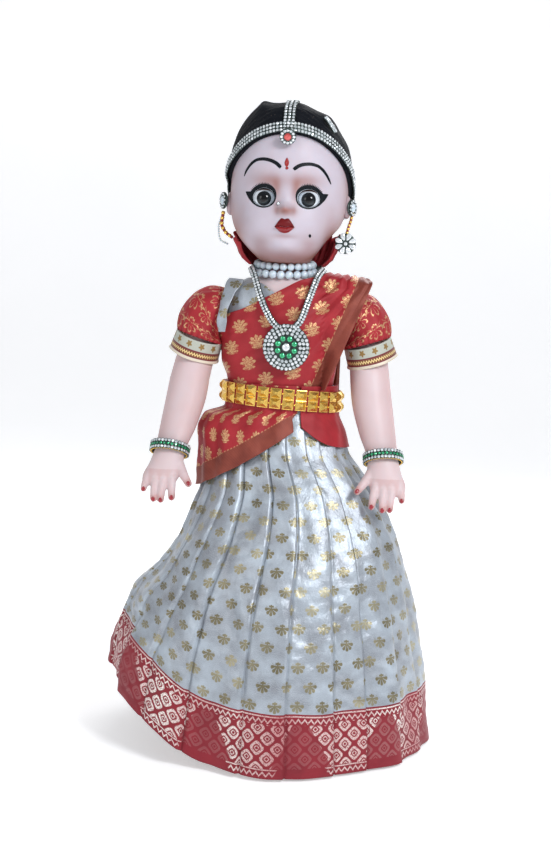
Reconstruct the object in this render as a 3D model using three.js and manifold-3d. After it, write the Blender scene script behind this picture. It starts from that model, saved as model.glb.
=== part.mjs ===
// A dressed sleep-eye doll in a South Indian half saree, with classical dance jewellery.
// Millimetres, +Z up. The doll faces -Y, so her right hand is at -X and her left hand at +X.
// The origin is on the floor, at the middle of the skirt.

import * as THREE from 'three';
import Module from 'manifold-3d';
import { mergeVertices } from 'three/addons/utils/BufferGeometryUtils.js';

const wasm = await Module();
wasm.setup();

// ---- Driving dimensions ----

const GAP = 0.4; // left between neighbouring pieces
const WALL = 2.4; // hollow plastic and vinyl shells
const CLOTH = 1.4; // one lined layer of brocade
const SIDES = 18; // points round the torso and the head
const LIMB_SIDES = 12;
const SKIRT_SIDES = 28;
const HULL = 1200; // a cutting block, larger than the doll

const neck = { radius: 21, top: 480, flangeRadius: 24, flangeTop: 437, flangeHeight: 6 };
const collarRadius = 36; // clothes stay this far from the neck's axis
const eye = { x: 20.5, y: -38, z: 515, radius: 12.4, openingWidth: 20, openingHeight: 17.5 };
const shoulder = { z: 411, plugRadius: 12, flangeRadius: 14.5, flangeX: 40, faceX: 60 };
const hip = { z: 262, faceX: 24, pocketRadius: 30.5, plugRadius: 8.6, flangeRadius: 11.5, flangeX: 14 };
const waistTop = 345; // top edge of the skirt, under the belt
const borderTop = 57; // seam between the skirt and its border
const hemLift = 44; // how far the skirt's right side is raised and tucked
const bangleWidth = 12;

// Level ovals: height, half-width, front Y, back Y, how much of an offset also raises the oval, and how far
// its middle lies to her left.
const torsoOvals = [
  [234, 20, -17, 20, 0],
  [243, 40, -29, 33, 0],
  [262, 53, -38, 42, 0],
  [285, 53, -40, 42, 0],
  [335, 47, -36.5, 33, 0],
  [362, 50, -38, 33, 0],
  [395, 54, -39, 33, 0],
  [415, 55, -36, 32, 0],
  [432, 50, -33, 30, 1],
  [440, 36, -28, 27, 1],
  [446, 25, -25, 25, 1],
];

const headOvals = [
  [458.5, 8, -34, -18, -1],
  [461, 20, -43, -4, -1],
  [468, 31.5, -50.5, 12, -0.5, -2.5],
  [479, 41, -55, 30, 0, -3.6],
  [495, 51.5, -57, 45, 0, -1.2],
  [515, 56, -56, 53, 0],
  [540, 55.5, -56, 57.5, 0],
  [565, 51, -53, 56, 0],
  [583, 43, -45, 48, 0.5],
  [596, 31, -33, 35, 1],
  [604, 10, -12, 13, 1],
];

const skirtOvals = [
  [waistTop, 50.4, -40.4, 38.2, 0, 0],
  [318, 51.4, -41.4, 39.6, 0, 0],
  [300, 60, -49, 49, 0, -1],
  [280, 65, -56, 56, 0, 0],
  [262, 74, -65, 65, 0, 4],
  [240, 84, -76, 76, 0, 9],
  [215, 97, -89, 89, 0, 10],
  [150, 126.5, -116, 116, 0, 4],
  [borderTop, 150.5, -139, 139, 0, 0],
  [0, 157, -146, 146, 0, 0],
];

// Limbs, from the joint to the tip: height, centre X and Y, half-width and half-depth.
const armOvals = [
  [425, 73, 0, 8, 9],
  [419, 74, 0, 12.5, 15],
  [404, 76, -1, 15.5, 17],
  [390, 79, -3, 16.5, 17],
  [366, 83, -8, 17.5, 17.5],
  [330, 88, -18, 18, 18],
  [300, 94, -30, 16.5, 16.5],
  [279, 99, -42, 16, 15],
  [267, 100, -48, 17.5, 12],
  [252, 101, -54, 20, 9],
  [238, 102, -58, 18, 7],
  [224, 102, -61, 10, 4.5],
];

const legOvals = [
  [290, 43, 0, 9, 10],
  [283, 43, 0, 15.5, 20],
  [270, 43, 0, 18.5, 27.5],
  [246, 43, 0, 18.5, 26],
  [212, 41, 0, 19.5, 23.5],
  [165, 37, 0, 18, 19],
  [130, 37, 3, 18.5, 20],
  [50, 36, 0, 12.5, 14],
  [28, 36, -6, 14, 22],
  [10, 36, -14, 16.5, 33],
  [0, 36, -14, 15.5, 31],
];

// The hairline lies in a plane that falls from the forehead to the nape.
const hairline = { point: [0, -58, 577], normal: new THREE.Vector3(0, 99, 108).normalize() };

// ---- Solids ----

const UP = new THREE.Vector3(0, 0, 1);
const mirrorX = new THREE.Matrix4().makeScale(-1, 1, 1);

// A manifold solid from any closed three.js geometry.
function solid(geometry) {
  const bare = geometry.clone();
  bare.deleteAttribute('normal');
  bare.deleteAttribute('uv');
  const merged = mergeVertices(bare, 1e-4);
  return new wasm.Manifold(
    new wasm.Mesh({
      numProp: 3,
      vertProperties: new Float32Array(merged.attributes.position.array),
      triVerts: new Uint32Array(merged.index.array),
    }),
  );
}

function geometryOf(shape) {
  const mesh = shape.getMesh();
  const geometry = new THREE.BufferGeometry();
  geometry.setAttribute('position', new THREE.BufferAttribute(new Float32Array(mesh.vertProperties), 3));
  geometry.setIndex(new THREE.BufferAttribute(new Uint32Array(mesh.triVerts), 1));
  return geometry;
}

function signedVolume(points, indices) {
  let volume = 0;
  for (let i = 0; i < indices.length; i += 3) {
    const [a, b, c] = [points[indices[i]], points[indices[i + 1]], points[indices[i + 2]]];
    volume += a.dot(b.clone().cross(c)) / 6;
  }
  return volume;
}

function middle(ring) {
  const sum = new THREE.Vector3();
  ring.forEach((point) => sum.add(point));
  return sum.divideScalar(ring.length);
}

// A closed skin through rings of equal point count. A loop joins the last ring to the first, as a
// hollow sleeve does; otherwise a fan closes each end.
function loft(rings, loop = false) {
  const count = rings[0].length;
  const points = rings.flat();
  const indices = [];
  const spans = loop ? rings.length : rings.length - 1;
  for (let i = 0; i < spans; i += 1) {
    const low = i * count;
    const high = ((i + 1) % rings.length) * count;
    for (let k = 0; k < count; k += 1) {
      const next = (k + 1) % count;
      indices.push(low + k, low + next, high + next);
      indices.push(low + k, high + next, high + k);
    }
  }
  if (!loop) {
    const last = (rings.length - 1) * count;
    const bottom = points.push(middle(rings[0])) - 1;
    const top = points.push(middle(rings.at(-1))) - 1;
    for (let k = 0; k < count; k += 1) {
      const next = (k + 1) % count;
      indices.push(bottom, next, k);
      indices.push(top, last + k, last + next);
    }
  }
  if (signedVolume(points, indices) < 0) indices.reverse();
  const geometry = new THREE.BufferGeometry().setFromPoints(points);
  geometry.setIndex(indices);
  return geometry;
}

// One level oval, grown outwards by an offset.
function oval([z, halfWidth, front, back, rise, shift = 0], offset, sides = SIDES) {
  const centreY = (front + back) / 2;
  const halfDepth = (back - front) / 2;
  const ring = [];
  for (let k = 0; k < sides; k += 1) {
    const angle = (2 * Math.PI * k) / sides;
    const x = shift + (halfWidth + offset) * Math.cos(angle);
    const y = centreY + (halfDepth + offset) * Math.sin(angle);
    ring.push(new THREE.Vector3(x, y, z + rise * offset));
  }
  return ring;
}

function grown(ovals, offset) {
  return solid(loft(ovals.map((row) => oval(row, offset))));
}

// A layer that lies round a form, between two offsets, open at both ends.
function layer(ovals, inner, outer) {
  const outside = ovals.map((row) => oval(row, outer, SKIRT_SIDES));
  const inside = ovals.map((row) => oval(row, inner, SKIRT_SIDES)).reverse();
  return solid(loft([...outside, ...inside], true));
}

function limb(rows, inset) {
  const rings = rows.map(([z, x, y, halfWidth, halfDepth]) => {
    return oval([z, halfWidth, y - halfDepth, y + halfDepth, 0, x], -inset, LIMB_SIDES);
  });
  return solid(loft(rings));
}

// A round bar between two points.
function bar(from, to, radius, sides = 16) {
  const [start, end] = [new THREE.Vector3(...from), new THREE.Vector3(...to)];
  const along = end.clone().sub(start);
  const geometry = new THREE.CylinderGeometry(radius, radius, along.length(), sides);
  geometry.applyQuaternion(
    new THREE.Quaternion().setFromUnitVectors(new THREE.Vector3(0, 1, 0), along.clone().normalize()),
  );
  const centre = start.add(end).divideScalar(2);
  return solid(geometry.translate(centre.x, centre.y, centre.z));
}

function ball(centre, radii, sides = 12) {
  const geometry = new THREE.SphereGeometry(1, sides, Math.round(sides * 0.6));
  return solid(geometry.scale(...radii).translate(...centre));
}

// Everything behind a plane.
function behind(point, normal) {
  const block = new THREE.BoxGeometry(HULL, HULL, HULL).translate(0, 0, -HULL / 2);
  block.applyQuaternion(new THREE.Quaternion().setFromUnitVectors(UP, normal.clone().normalize()));
  return solid(block.translate(...point));
}

function box(low, high) {
  const size = high.map((value, i) => value - low[i]);
  const centre = high.map((value, i) => (value + low[i]) / 2);
  return solid(new THREE.BoxGeometry(...size).translate(...centre));
}

// A round-sectioned tube along a smooth curve, open-ended or closed on itself.
function tube(points, radius, steps, closed = false) {
  const section = new THREE.Shape().absarc(0, 0, radius, 0, 2 * Math.PI);
  const curve = new THREE.CatmullRomCurve3(points.map((p) => new THREE.Vector3(...p)), closed);
  const settings = { steps, extrudePath: curve, curveSegments: 3, bevelEnabled: false };
  return solid(new THREE.ExtrudeGeometry(section, settings));
}

// A round plate with a softened edge, facing along an axis.
function plate(centre, radius, thickness, facing, sides = 24) {
  const profile = [
    [0, 0],
    [radius, 0],
    [radius, thickness * 0.5],
    [radius * 0.8, thickness],
    [0, thickness],
  ].map(([r, h]) => new THREE.Vector2(r, h));
  const geometry = new THREE.LatheGeometry(profile, sides);
  geometry.applyQuaternion(new THREE.Quaternion().setFromUnitVectors(new THREE.Vector3(0, 1, 0), facing));
  return solid(geometry.translate(...centre));
}

// ---- The plastic body ----

function torsoShell() {
  const hipPocket = (extra) =>
    [-1, 1].map((side) => {
      const inner = side * (hip.faceX - extra);
      return bar([inner, 0, hip.z], [side * 90, 0, hip.z], hip.pocketRadius + extra, 20);
    });
  let outside = grown(torsoOvals, 0);
  let inside = grown(torsoOvals, -WALL);
  hipPocket(0).forEach((pocket) => (outside = outside.subtract(pocket)));
  hipPocket(WALL).forEach((pocket) => (inside = inside.subtract(pocket)));
  // The pockets run out through the sides and the bottom, so the block below them is cut away too.
  [-1, 1].forEach((side) => {
    const [near, far] = [side * hip.faceX, side * 90];
    const wallNear = near - side * WALL;
    outside = outside.subtract(box([Math.min(near, far), -90, 200], [Math.max(near, far), 90, hip.z]));
    inside = inside.subtract(
      box([Math.min(wallNear, far), -90, 200], [Math.max(wallNear, far), 90, hip.z + WALL]),
    );
  });
  return outside
    .subtract(inside)
    .subtract(bar([0, 0, 430], [0, 0, 460], neck.radius + GAP + 0.2, 24))
    .subtract(bar([-90, 0, shoulder.z], [90, 0, shoulder.z], shoulder.plugRadius + GAP))
    .subtract(bar([-40, 0, hip.z], [40, 0, hip.z], hip.plugRadius + GAP));
}

function headShell() {
  const flangeLow = neck.flangeTop - neck.flangeHeight;
  const nose = ball([0, -57, 504.5], [5.5, 6, 7.5], 8);
  const ears = [-1, 1].map((side) => ball([side * 55.5, -6, 512], [5, 7.5, 11], 8));
  const sockets = [-1, 1].map((side) => {
    const centre = [side * eye.x, eye.y, eye.z];
    return ball(centre, Array(3).fill(eye.radius + GAP), 16);
  });
  const openings = [-1, 1].map((side) => {
    const hole = new THREE.CylinderGeometry(1, 1, 40, 16);
    hole.scale(eye.openingWidth / 2, 1, eye.openingHeight / 2);
    return solid(hole.translate(side * eye.x, -60, eye.z));
  });
  let shell = grown(headOvals, 0).add(nose);
  ears.forEach((ear) => (shell = shell.add(ear)));
  shell = shell
    .add(bar([0, 0, flangeLow], [0, 0, neck.top], neck.radius, 24))
    .add(bar([0, 0, flangeLow], [0, 0, neck.flangeTop], neck.flangeRadius, 24))
    .subtract(grown(headOvals, -WALL))
    .subtract(bar([0, 0, flangeLow - 1], [0, 0, neck.top + 4], neck.radius - WALL - 1));
  [...sockets, ...openings].forEach((cut) => (shell = shell.subtract(cut)));
  return shell;
}

function eyeball(side) {
  const sphere = new THREE.SphereGeometry(eye.radius, 14, 8);
  return solid(sphere.translate(side * eye.x, eye.y, eye.z));
}

// The wire that joins both eyeballs behind, with a stem down to the weight.
function eyeYoke() {
  const back = eye.y + eye.radius + GAP;
  const bow = [
    [-eye.x, back, eye.z],
    [-eye.x + 3, back + 6, eye.z],
    [0, back + 8, eye.z],
    [eye.x - 3, back + 6, eye.z],
    [eye.x, back, eye.z],
  ];
  const drop = [
    [0, back + 8, eye.z],
    [0, back + 2, eye.z - 12],
    [0, eye.y + 3, eye.z - 21.2],
  ];
  const crossbar = tube(bow, 1.6, 10);
  const stem = tube(drop, 1.6, 4);
  return crossbar.add(stem);
}

function eyeWeight() {
  const lead = new THREE.CylinderGeometry(7, 7, 13, 16).rotateX(Math.PI / 2);
  return solid(lead.translate(0, eye.y + 2, eye.z - 29));
}

// Arms and legs are drawn for the left side, +X; the right side is mirrored. Each is a hollow moulding,
// open at its plug, which a flange holds in the torso.
function arm() {
  const socketX = 72;
  const thumb = tube([[88, -50, 268], [79, -57, 256], [74, -61, 241]], 5, 4);
  const plug = bar([shoulder.flangeX, 0, shoulder.z], [socketX, 0, shoulder.z], shoulder.plugRadius);
  const flangeEnd = [shoulder.flangeX + 3.5, 0, shoulder.z];
  const flange = bar([shoulder.flangeX, 0, shoulder.z], flangeEnd, shoulder.flangeRadius);
  const boreStart = [shoulder.flangeX - 1, 0, shoulder.z];
  const bore = bar(boreStart, [socketX, 0, shoulder.z], shoulder.plugRadius - WALL);
  const hollow = limb(armOvals.slice(1, 8), WALL).add(bore);
  return limb(armOvals, 0).add(thumb).add(plug).add(flange).subtract(hollow);
}

function leg() {
  const innerX = hip.faceX + GAP + 0.2;
  const flangeEnd = [hip.flangeX + 3.5, 0, hip.z];
  const flange = bar([hip.flangeX, 0, hip.z], flangeEnd, hip.flangeRadius);
  const plug = bar([hip.flangeX, 0, hip.z], [innerX + 8, 0, hip.z], hip.plugRadius);
  const bore = bar([hip.flangeX - 1, 0, hip.z], [innerX + 12, 0, hip.z], hip.plugRadius - WALL);
  const innerFace = box([-60, -90, 228], [innerX, 90, 320]);
  const innerWall = box([-60, -90, 228], [innerX + WALL, 90, 320]);
  const hollow = limb(legOvals.slice(1, 8), WALL).subtract(innerWall);
  return limb(legOvals, 0).subtract(innerFace).subtract(hollow).add(plug).add(flange).subtract(bore);
}

// ---- Hair and head jewellery ----

function aboveHairline(shape, low, high = HULL) {
  const at = (distance) =>
    hairline.normal.clone().multiplyScalar(distance).add(new THREE.Vector3(...hairline.point)).toArray();
  const cut = shape.subtract(behind(at(low), hairline.normal));
  return high === HULL ? cut : cut.intersect(behind(at(high), hairline.normal));
}

const HAIR = 4.2; // thickness of the hair
const BAND = 1.8; // thickness of the bands of stones on it

function hairCap() {
  return aboveHairline(grown(headOvals, HAIR).subtract(grown(headOvals, GAP)), 0);
}

function headband() {
  const under = HAIR + GAP;
  return aboveHairline(grown(headOvals, under + BAND).subtract(grown(headOvals, under)), 0.5, 10);
}

function partingStrip() {
  const under = HAIR + GAP;
  const crest = grown(headOvals, under + BAND).subtract(grown(headOvals, under));
  return aboveHairline(crest, 10.5).intersect(box([-5.6, -80, 520], [5.6, -2, 640]));
}

function hairBun() {
  const roll = ball([0, 62, 526], [27, 19, 25], 16);
  return roll.subtract(grown(headOvals, HAIR + GAP));
}

// Red cloth gathered round the nape, wider at the top.
function napeCloth() {
  const funnel = [
    [458, 33, -33, 33, 0],
    [470, 43, -43, 43, 0],
    [490, 51, -51, 51, 0],
  ];
  return grown(funnel, 0)
    .subtract(grown(headOvals, HAIR + 2 * GAP + BAND))
    .subtract(bar([0, 0, 440], [0, 0, 500], 31, 24))
    .subtract(behind([0, -8, 0], new THREE.Vector3(0, 1, 0)));
}

function tikka() {
  return plate([0, -60.4, 570.5], 8, 3, new THREE.Vector3(0, -1, -0.12).normalize(), 16);
}

function hairJewel() {
  const under = HAIR + GAP;
  const strip = grown(headOvals, under + 2.4).subtract(grown(headOvals, under));
  return aboveHairline(strip, 11).intersect(box([31, -60, 570], [40, -8, 602]));
}

function noseStud() {
  return ball([-7.9, -58.2, 502.5], [1.3, 1.3, 1.3], 8);
}

function earCover(side) {
  return plate([side * 61.4, -6, 514.5], 8.5, 2.4, new THREE.Vector3(side, 0, 0), 16);
}

const earringX = 60;
const earringTop = 503;

// A beaded chain that hangs from her right ear cover and curls in under it.
function earChain() {
  const x = -earringX - 2;
  return tube([[x, -6, earringTop], [x - 1, -6, 493], [x + 3, -6, 485], [x + 9, -6, 480]], 2.2, 12);
}

function flowerEarring() {
  const flower = plate([earringX - 4.5, -12.4, 477.5], 10.5, 3.2, new THREE.Vector3(0, -1, 0));
  return flower.add(bar([earringX - 4, -14, 486], [earringX, -6, earringTop], 1.5, 8));
}

// ---- Necklaces, belt and bangles ----

// A strand of pearls round the neck, lower at the front.
function pearlStrand(radius, middleZ, drop) {
  const points = [];
  for (let k = 0; k < 12; k += 1) {
    const angle = (2 * Math.PI * k) / 12;
    points.push([radius * Math.cos(angle), radius * Math.sin(angle) - 1, middleZ + drop * Math.sin(angle)]);
  }
  return tube(points, 3, 24, true);
}

// The necklace hangs a little to her left, further the lower it is.
function necklaceChain() {
  const toLeft = (z) => 0.1 * (453 - z);
  const left = [
    [18, 31, 453],
    [35, 12, 452.5],
    [38.5, -8, 450],
    [33, -28, 443.5],
    [22, -42, 424],
    [9, -47, 406],
  ];
  const right = left.map(([x, y, z]) => [-x, y, z]).reverse();
  const loop = [...left, [0, -48.5, 404], ...right].map(([x, y, z]) => [x + toLeft(z), y, z]);
  return tube(loop, 2.2, 36, true);
}

function necklacePendant() {
  return plate([5, -46.4, 379], 22, 5, new THREE.Vector3(0, -1, 0), 32);
}

// A ring round the waist, a little lower on her left.
function belt() {
  const [inner, outer] = [2.9, 6.4];
  const tilt = 0.06;
  const edges = [322, 341].map((z) => [z, 51.5, -41.5, 40, 0]);
  const lean = (ring) => ring.map((point) => point.setZ(point.z - tilt * point.x));
  const outside = edges.map((row) => lean(oval(row, outer, 28)));
  const inside = edges.map((row) => lean(oval(row, inner, 28))).reverse();
  return solid(loft([...outside, ...inside], true));
}

// Rings square to a limb, from one point to another.
function cuff(from, to, innerRadius, outerRadius, sides = 20) {
  return bar(from, to, outerRadius, sides).subtract(
    bar(...stretched(from, to, 2), innerRadius, sides),
  );
}

function stretched(from, to, extra) {
  const [start, end] = [new THREE.Vector3(...from), new THREE.Vector3(...to)];
  const along = end.clone().sub(start).setLength(extra);
  return [start.sub(along).toArray(), end.add(along).toArray()];
}

function bangle() {
  const centre = new THREE.Vector3(99, -41.5, 279.5);
  const along = new THREE.Vector3(4, -11, -21).setLength(bangleWidth / 2);
  return cuff(centre.clone().sub(along).toArray(), centre.clone().add(along).toArray(), 17.7, 20);
}

// ---- Clothes ----

const BLOUSE = { inner: GAP + 0.2, outer: GAP + 0.2 + CLOTH };
const DRAPE = { inner: BLOUSE.outer + GAP, outer: BLOUSE.outer + GAP + CLOTH };

// What the clothes leave free: the neck, and the sleeves with the arms inside them.
function withOpenings(shape, armholeRadius) {
  return shape
    .subtract(bar([0, -1, 400], [0, -1, 480], collarRadius, 24))
    .subtract(bar([-90, 0, shoulder.z], [90, 0, shoulder.z], armholeRadius, 20));
}

const chestOvals = torsoOvals.filter(([z]) => z >= 335);

function blouse() {
  const cloth = grown(chestOvals, BLOUSE.outer).subtract(grown(torsoOvals, BLOUSE.inner));
  return withOpenings(cloth, 20).subtract(box([-90, -90, 300], [90, 90, waistTop + GAP]));
}

// The half saree: across the chest from her right side to her left shoulder.
function chestDrape() {
  const cloth = grown(chestOvals, DRAPE.outer).subtract(grown(torsoOvals, DRAPE.inner));
  const upperEdge = behind([0, 0, 438], new THREE.Vector3(-0.52, 0, 1));
  const outerEdge = behind([50, 0, 366], new THREE.Vector3(1, 0, -0.42));
  return withOpenings(cloth, 24)
    .intersect(upperEdge)
    .intersect(outerEdge)
    .subtract(box([-90, -90, 300], [90, 90, waistTop + 1]))
    .subtract(box([-90, 12, 300], [4, 90, 460]));
}

// Cloth over the hips: a panel on her right that ends in a slanting hem, and a plain flap on her left.
const flapOvals = skirtOvals.filter(([z]) => z >= 240);
const panelOvals = [
  [waistTop, 50.4, -40.4, 38.2, 0, 0],
  [320, 51.2, -41.2, 39.4, 0, 0],
  [311, 63, -46, 45, 0, -8],
  [300, 68, -51, 50, 0, -8],
  [280, 70, -58, 57, 0, -5],
  [262, 76, -67, 67, 0, 1],
  [240, 86, -78, 78, 0, 9],
  [225, 95, -87, 87, 0, 9],
];
const PANEL = { inner: GAP, outer: GAP + CLOTH };

function hipPanel() {
  const slant = new THREE.Vector3(0.643, 0, -1);
  return layer(panelOvals, PANEL.inner, PANEL.outer)
    .intersect(behind([-76, 0, 243], slant))
    .subtract(box([21.7, -120, 200], [120, 120, 400]));
}

function blouseFlap() {
  const slant = new THREE.Vector3(-0.48, 0, -1);
  return layer(flapOvals, PANEL.inner, PANEL.outer)
    .intersect(behind([64, 0, 285], slant))
    .subtract(box([-120, -120, 200], [22.3, 120, 400]));
}

// The loose end of the half saree, which falls behind her left shoulder.
function drapeTail() {
  const fall = [
    [38, 436],
    [40, 424],
    [41, 392],
    [42, 360],
    [47.5, 346],
    [47.8, 318],
    [53.5, 300],
    [59.5, 283],
    [70, 258],
  ];
  const outer = [...fall].reverse().map(([y, z]) => [y + 1.6, z + 1]);
  const outline = new THREE.Shape([...fall, ...outer].map((point) => new THREE.Vector2(...point)));
  const slab = new THREE.ExtrudeGeometry(outline, { depth: 36, bevelEnabled: false });
  // The outline is drawn in Y and Z, and its depth runs along X.
  const [alongX, alongY] = [new THREE.Vector3(1, 0, 0), new THREE.Vector3(0, 1, 0)];
  return solid(slab.applyMatrix4(new THREE.Matrix4().makeBasis(alongY, UP, alongX)).translate(18, 0, 0));
}

// Rings for a puffed sleeve, from the armhole to the cuff.
const sleeveRings = [
  { centre: [shoulder.faceX + 0.6, 0, 412], tilt: 0, radius: 25 },
  { centre: [69, 0, 410], tilt: 18, radius: 27.5 },
  { centre: [76, -1, 403], tilt: 40, radius: 28 },
  { centre: [79, -3, 392], tilt: 56, radius: 26.5 },
  { centre: [79.5, -6, 383], tilt: 72, radius: 23.5 },
];

function ringAcross({ centre, tilt, radius }, inset) {
  const lean = THREE.MathUtils.degToRad(tilt);
  const across = new THREE.Vector3(Math.sin(lean), 0, Math.cos(lean));
  const points = [];
  for (let k = 0; k < SIDES; k += 1) {
    const angle = (2 * Math.PI * k) / SIDES;
    const point = across.clone().multiplyScalar((radius - inset) * Math.cos(angle));
    point.y += (radius - inset) * Math.sin(angle);
    points.push(point.add(new THREE.Vector3(...centre)));
  }
  return points;
}

function sleeve() {
  const outside = sleeveRings.map((ring) => ringAcross(ring, 0));
  const inside = sleeveRings.map((ring) => ringAcross(ring, CLOTH)).reverse();
  return solid(loft([...outside, ...inside], true));
}

function sleeveBand() {
  return cuff([80.1, -6, 381.8], [85.4, -6, 365.4], 22.4, 24.4);
}

// The skirt's right side is lifted: the hem and the border rise there, the cloth above follows.
function skirtLayer(ovals, inner, outer) {
  const raised = (row, offset) => {
    const share = THREE.MathUtils.clamp((210 - row[0]) / 150, 0, 1);
    return oval(row, offset, SKIRT_SIDES).map((point) => {
      const side = THREE.MathUtils.smoothstep(-point.x / 157, 0.35, 1);
      return point.setZ(point.z + hemLift * share * side);
    });
  };
  const outside = ovals.map((row) => raised(row, outer));
  const inside = ovals.map((row) => raised(row, inner)).reverse();
  return solid(loft([...outside, ...inside], true));
}

function skirt() {
  const seam = borderTop + GAP;
  const ovals = skirtOvals.filter(([z]) => z > borderTop);
  const [, ...seamOval] = skirtOvals.find(([z]) => z === borderTop);
  return skirtLayer([...ovals, [seam, ...seamOval]], -CLOTH, 0);
}

function skirtBorder() {
  return skirtLayer(skirtOvals.filter(([z]) => z <= borderTop), -CLOTH, 0);
}

// ---- Colours and assembly ----

const colours = {
  vinyl: [0xe4cfcd, 0.35, 0],
  eyeWhite: [0xe8ecef, 0.15, 0],
  wire: [0x8d8f92, 0.4, 0.9],
  lead: [0x55585c, 0.6, 0.8],
  hair: [0x0c0d10, 0.9, 0],
  redCloth: [0xa01522, 0.6, 0],
  redBrocade: [0xa3182a, 0.5, 0.1],
  silverBrocade: [0xc3ccd6, 0.4, 0.2],
  gold: [0xd9a72b, 0.25, 0.9],
  stones: [0xdfe9f2, 0.1, 0.3],
  pearl: [0xb9c7da, 0.25, 0],
  green: [0x0c6b4a, 0.2, 0.2],
};

const doll = new THREE.Group();

function add(name, shape, colour, mirrored = false) {
  const [color, roughness, metalness] = colours[colour];
  let geometry = shape.isBufferGeometry ? shape : geometryOf(shape);
  if (mirrored) {
    geometry = geometry.clone().applyMatrix4(mirrorX);
    geometry.setIndex([...geometry.index.array].reverse());
  }
  const mesh = new THREE.Mesh(geometry, new THREE.MeshStandardMaterial({ color, roughness, metalness }));
  mesh.name = name;
  doll.add(mesh);
}

const torso = torsoShell();
add('torso_front', torso.intersect(behind([0, -0.2, 0], new THREE.Vector3(0, 1, 0))), 'vinyl');
add('torso_back', torso.subtract(behind([0, 0.2, 0], new THREE.Vector3(0, 1, 0))), 'vinyl');
add('head_shell', headShell(), 'vinyl');
add('eyeball_right', eyeball(-1), 'eyeWhite');
add('eyeball_left', eyeball(1), 'eyeWhite');
add('eye_yoke', eyeYoke(), 'wire');
add('eye_weight', eyeWeight(), 'lead');

add('hair_cap', hairCap(), 'hair');
add('hair_bun', hairBun(), 'hair');
add('nape_cloth', napeCloth(), 'redCloth');
add('headband', headband(), 'stones');
add('parting_strip', partingStrip(), 'stones');
add('forehead_pendant', tikka(), 'stones');
add('hair_jewel', hairJewel(), 'stones');
add('nose_stud', noseStud(), 'stones');
add('ear_cover_right', earCover(-1), 'stones');
add('ear_cover_left', earCover(1), 'stones');
add('ear_chain_right', earChain(), 'gold');
add('flower_earring_left', flowerEarring(), 'stones');

add('pearl_strand_upper', pearlStrand(27, 454, 3), 'pearl');
add('pearl_strand_lower', pearlStrand(30, 448.4, 3.2), 'pearl');
add('necklace_chain', necklaceChain(), 'stones');
add('necklace_pendant', necklacePendant(), 'green');
add('belt', belt(), 'gold');

add('blouse', blouse(), 'silverBrocade');
add('drape', chestDrape(), 'redBrocade');
add('drape_tail', drapeTail(), 'redBrocade');
add('hip_panel', hipPanel(), 'redBrocade');
add('blouse_flap', blouseFlap(), 'redCloth');
add('skirt', skirt(), 'silverBrocade');
add('skirt_border', skirtBorder(), 'redBrocade');

const sidedPieces = [
  ['arm', arm(), 'vinyl'],
  ['sleeve', sleeve(), 'redBrocade'],
  ['sleeve_band', sleeveBand(), 'silverBrocade'],
  ['bangle', bangle(), 'green'],
  ['leg', leg(), 'vinyl'],
];
sidedPieces.forEach(([name, shape, colour]) => {
  add(`${name}_left`, shape, colour);
  add(`${name}_right`, shape, colour, true);
});

export default doll;
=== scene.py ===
"""A dressed sleep-eye doll in a half saree: the looks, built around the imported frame.

Lengths are in millimetres until put() writes them in metres. The doll faces -Y, her right hand is at -X.
"""

import math

import bpy
import numpy as np
from mathutils import Matrix


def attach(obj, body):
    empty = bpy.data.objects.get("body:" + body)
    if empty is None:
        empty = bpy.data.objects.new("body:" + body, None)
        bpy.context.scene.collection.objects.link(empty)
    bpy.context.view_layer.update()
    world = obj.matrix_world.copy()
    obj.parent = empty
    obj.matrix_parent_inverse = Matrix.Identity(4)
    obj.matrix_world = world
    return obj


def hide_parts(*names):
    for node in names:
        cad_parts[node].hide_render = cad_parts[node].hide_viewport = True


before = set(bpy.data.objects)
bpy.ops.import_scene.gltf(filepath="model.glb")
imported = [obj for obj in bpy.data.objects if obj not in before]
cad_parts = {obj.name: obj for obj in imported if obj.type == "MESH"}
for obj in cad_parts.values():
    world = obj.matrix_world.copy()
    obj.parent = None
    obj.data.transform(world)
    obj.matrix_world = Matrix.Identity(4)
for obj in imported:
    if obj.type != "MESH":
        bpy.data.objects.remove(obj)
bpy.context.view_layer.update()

MM = 0.001
TAU = 2 * math.pi
FRONT = -TAU / 4
rng = np.random.default_rng(11)

# ---- Camera, floor and light ----


def add_camera():
    """The photograph's view: a little to her left, slightly downwards, and rolled by two degrees."""
    distance, height, across = 1.3, 0.43, -0.0046
    turn, pitch, roll = math.radians(3.5), math.radians(-5.913), math.radians(2.2)
    forward = np.array([-math.sin(turn) * math.cos(pitch), math.cos(turn) * math.cos(pitch), math.sin(pitch)])
    level = np.cross(forward, [0, 0, 1])
    level /= np.linalg.norm(level)
    upright = np.cross(level, forward)
    right = level * math.cos(roll) + upright * math.sin(roll)
    up = upright * math.cos(roll) - level * math.sin(roll)
    lens = bpy.data.cameras.new("camera")
    lens.sensor_fit = "VERTICAL"
    lens.sensor_height = 24
    lens.lens = 37.5
    camera = bpy.data.objects.new("camera", lens)
    place = Matrix.Identity(4)
    for row in range(3):
        place[row][0], place[row][1], place[row][2] = right[row], up[row], -forward[row]
    place[0][3] = distance * math.sin(turn) + across
    place[1][3] = -distance * math.cos(turn)
    place[2][3] = height
    camera.matrix_world = place
    bpy.context.scene.collection.objects.link(camera)
    bpy.context.scene.camera = camera


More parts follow.
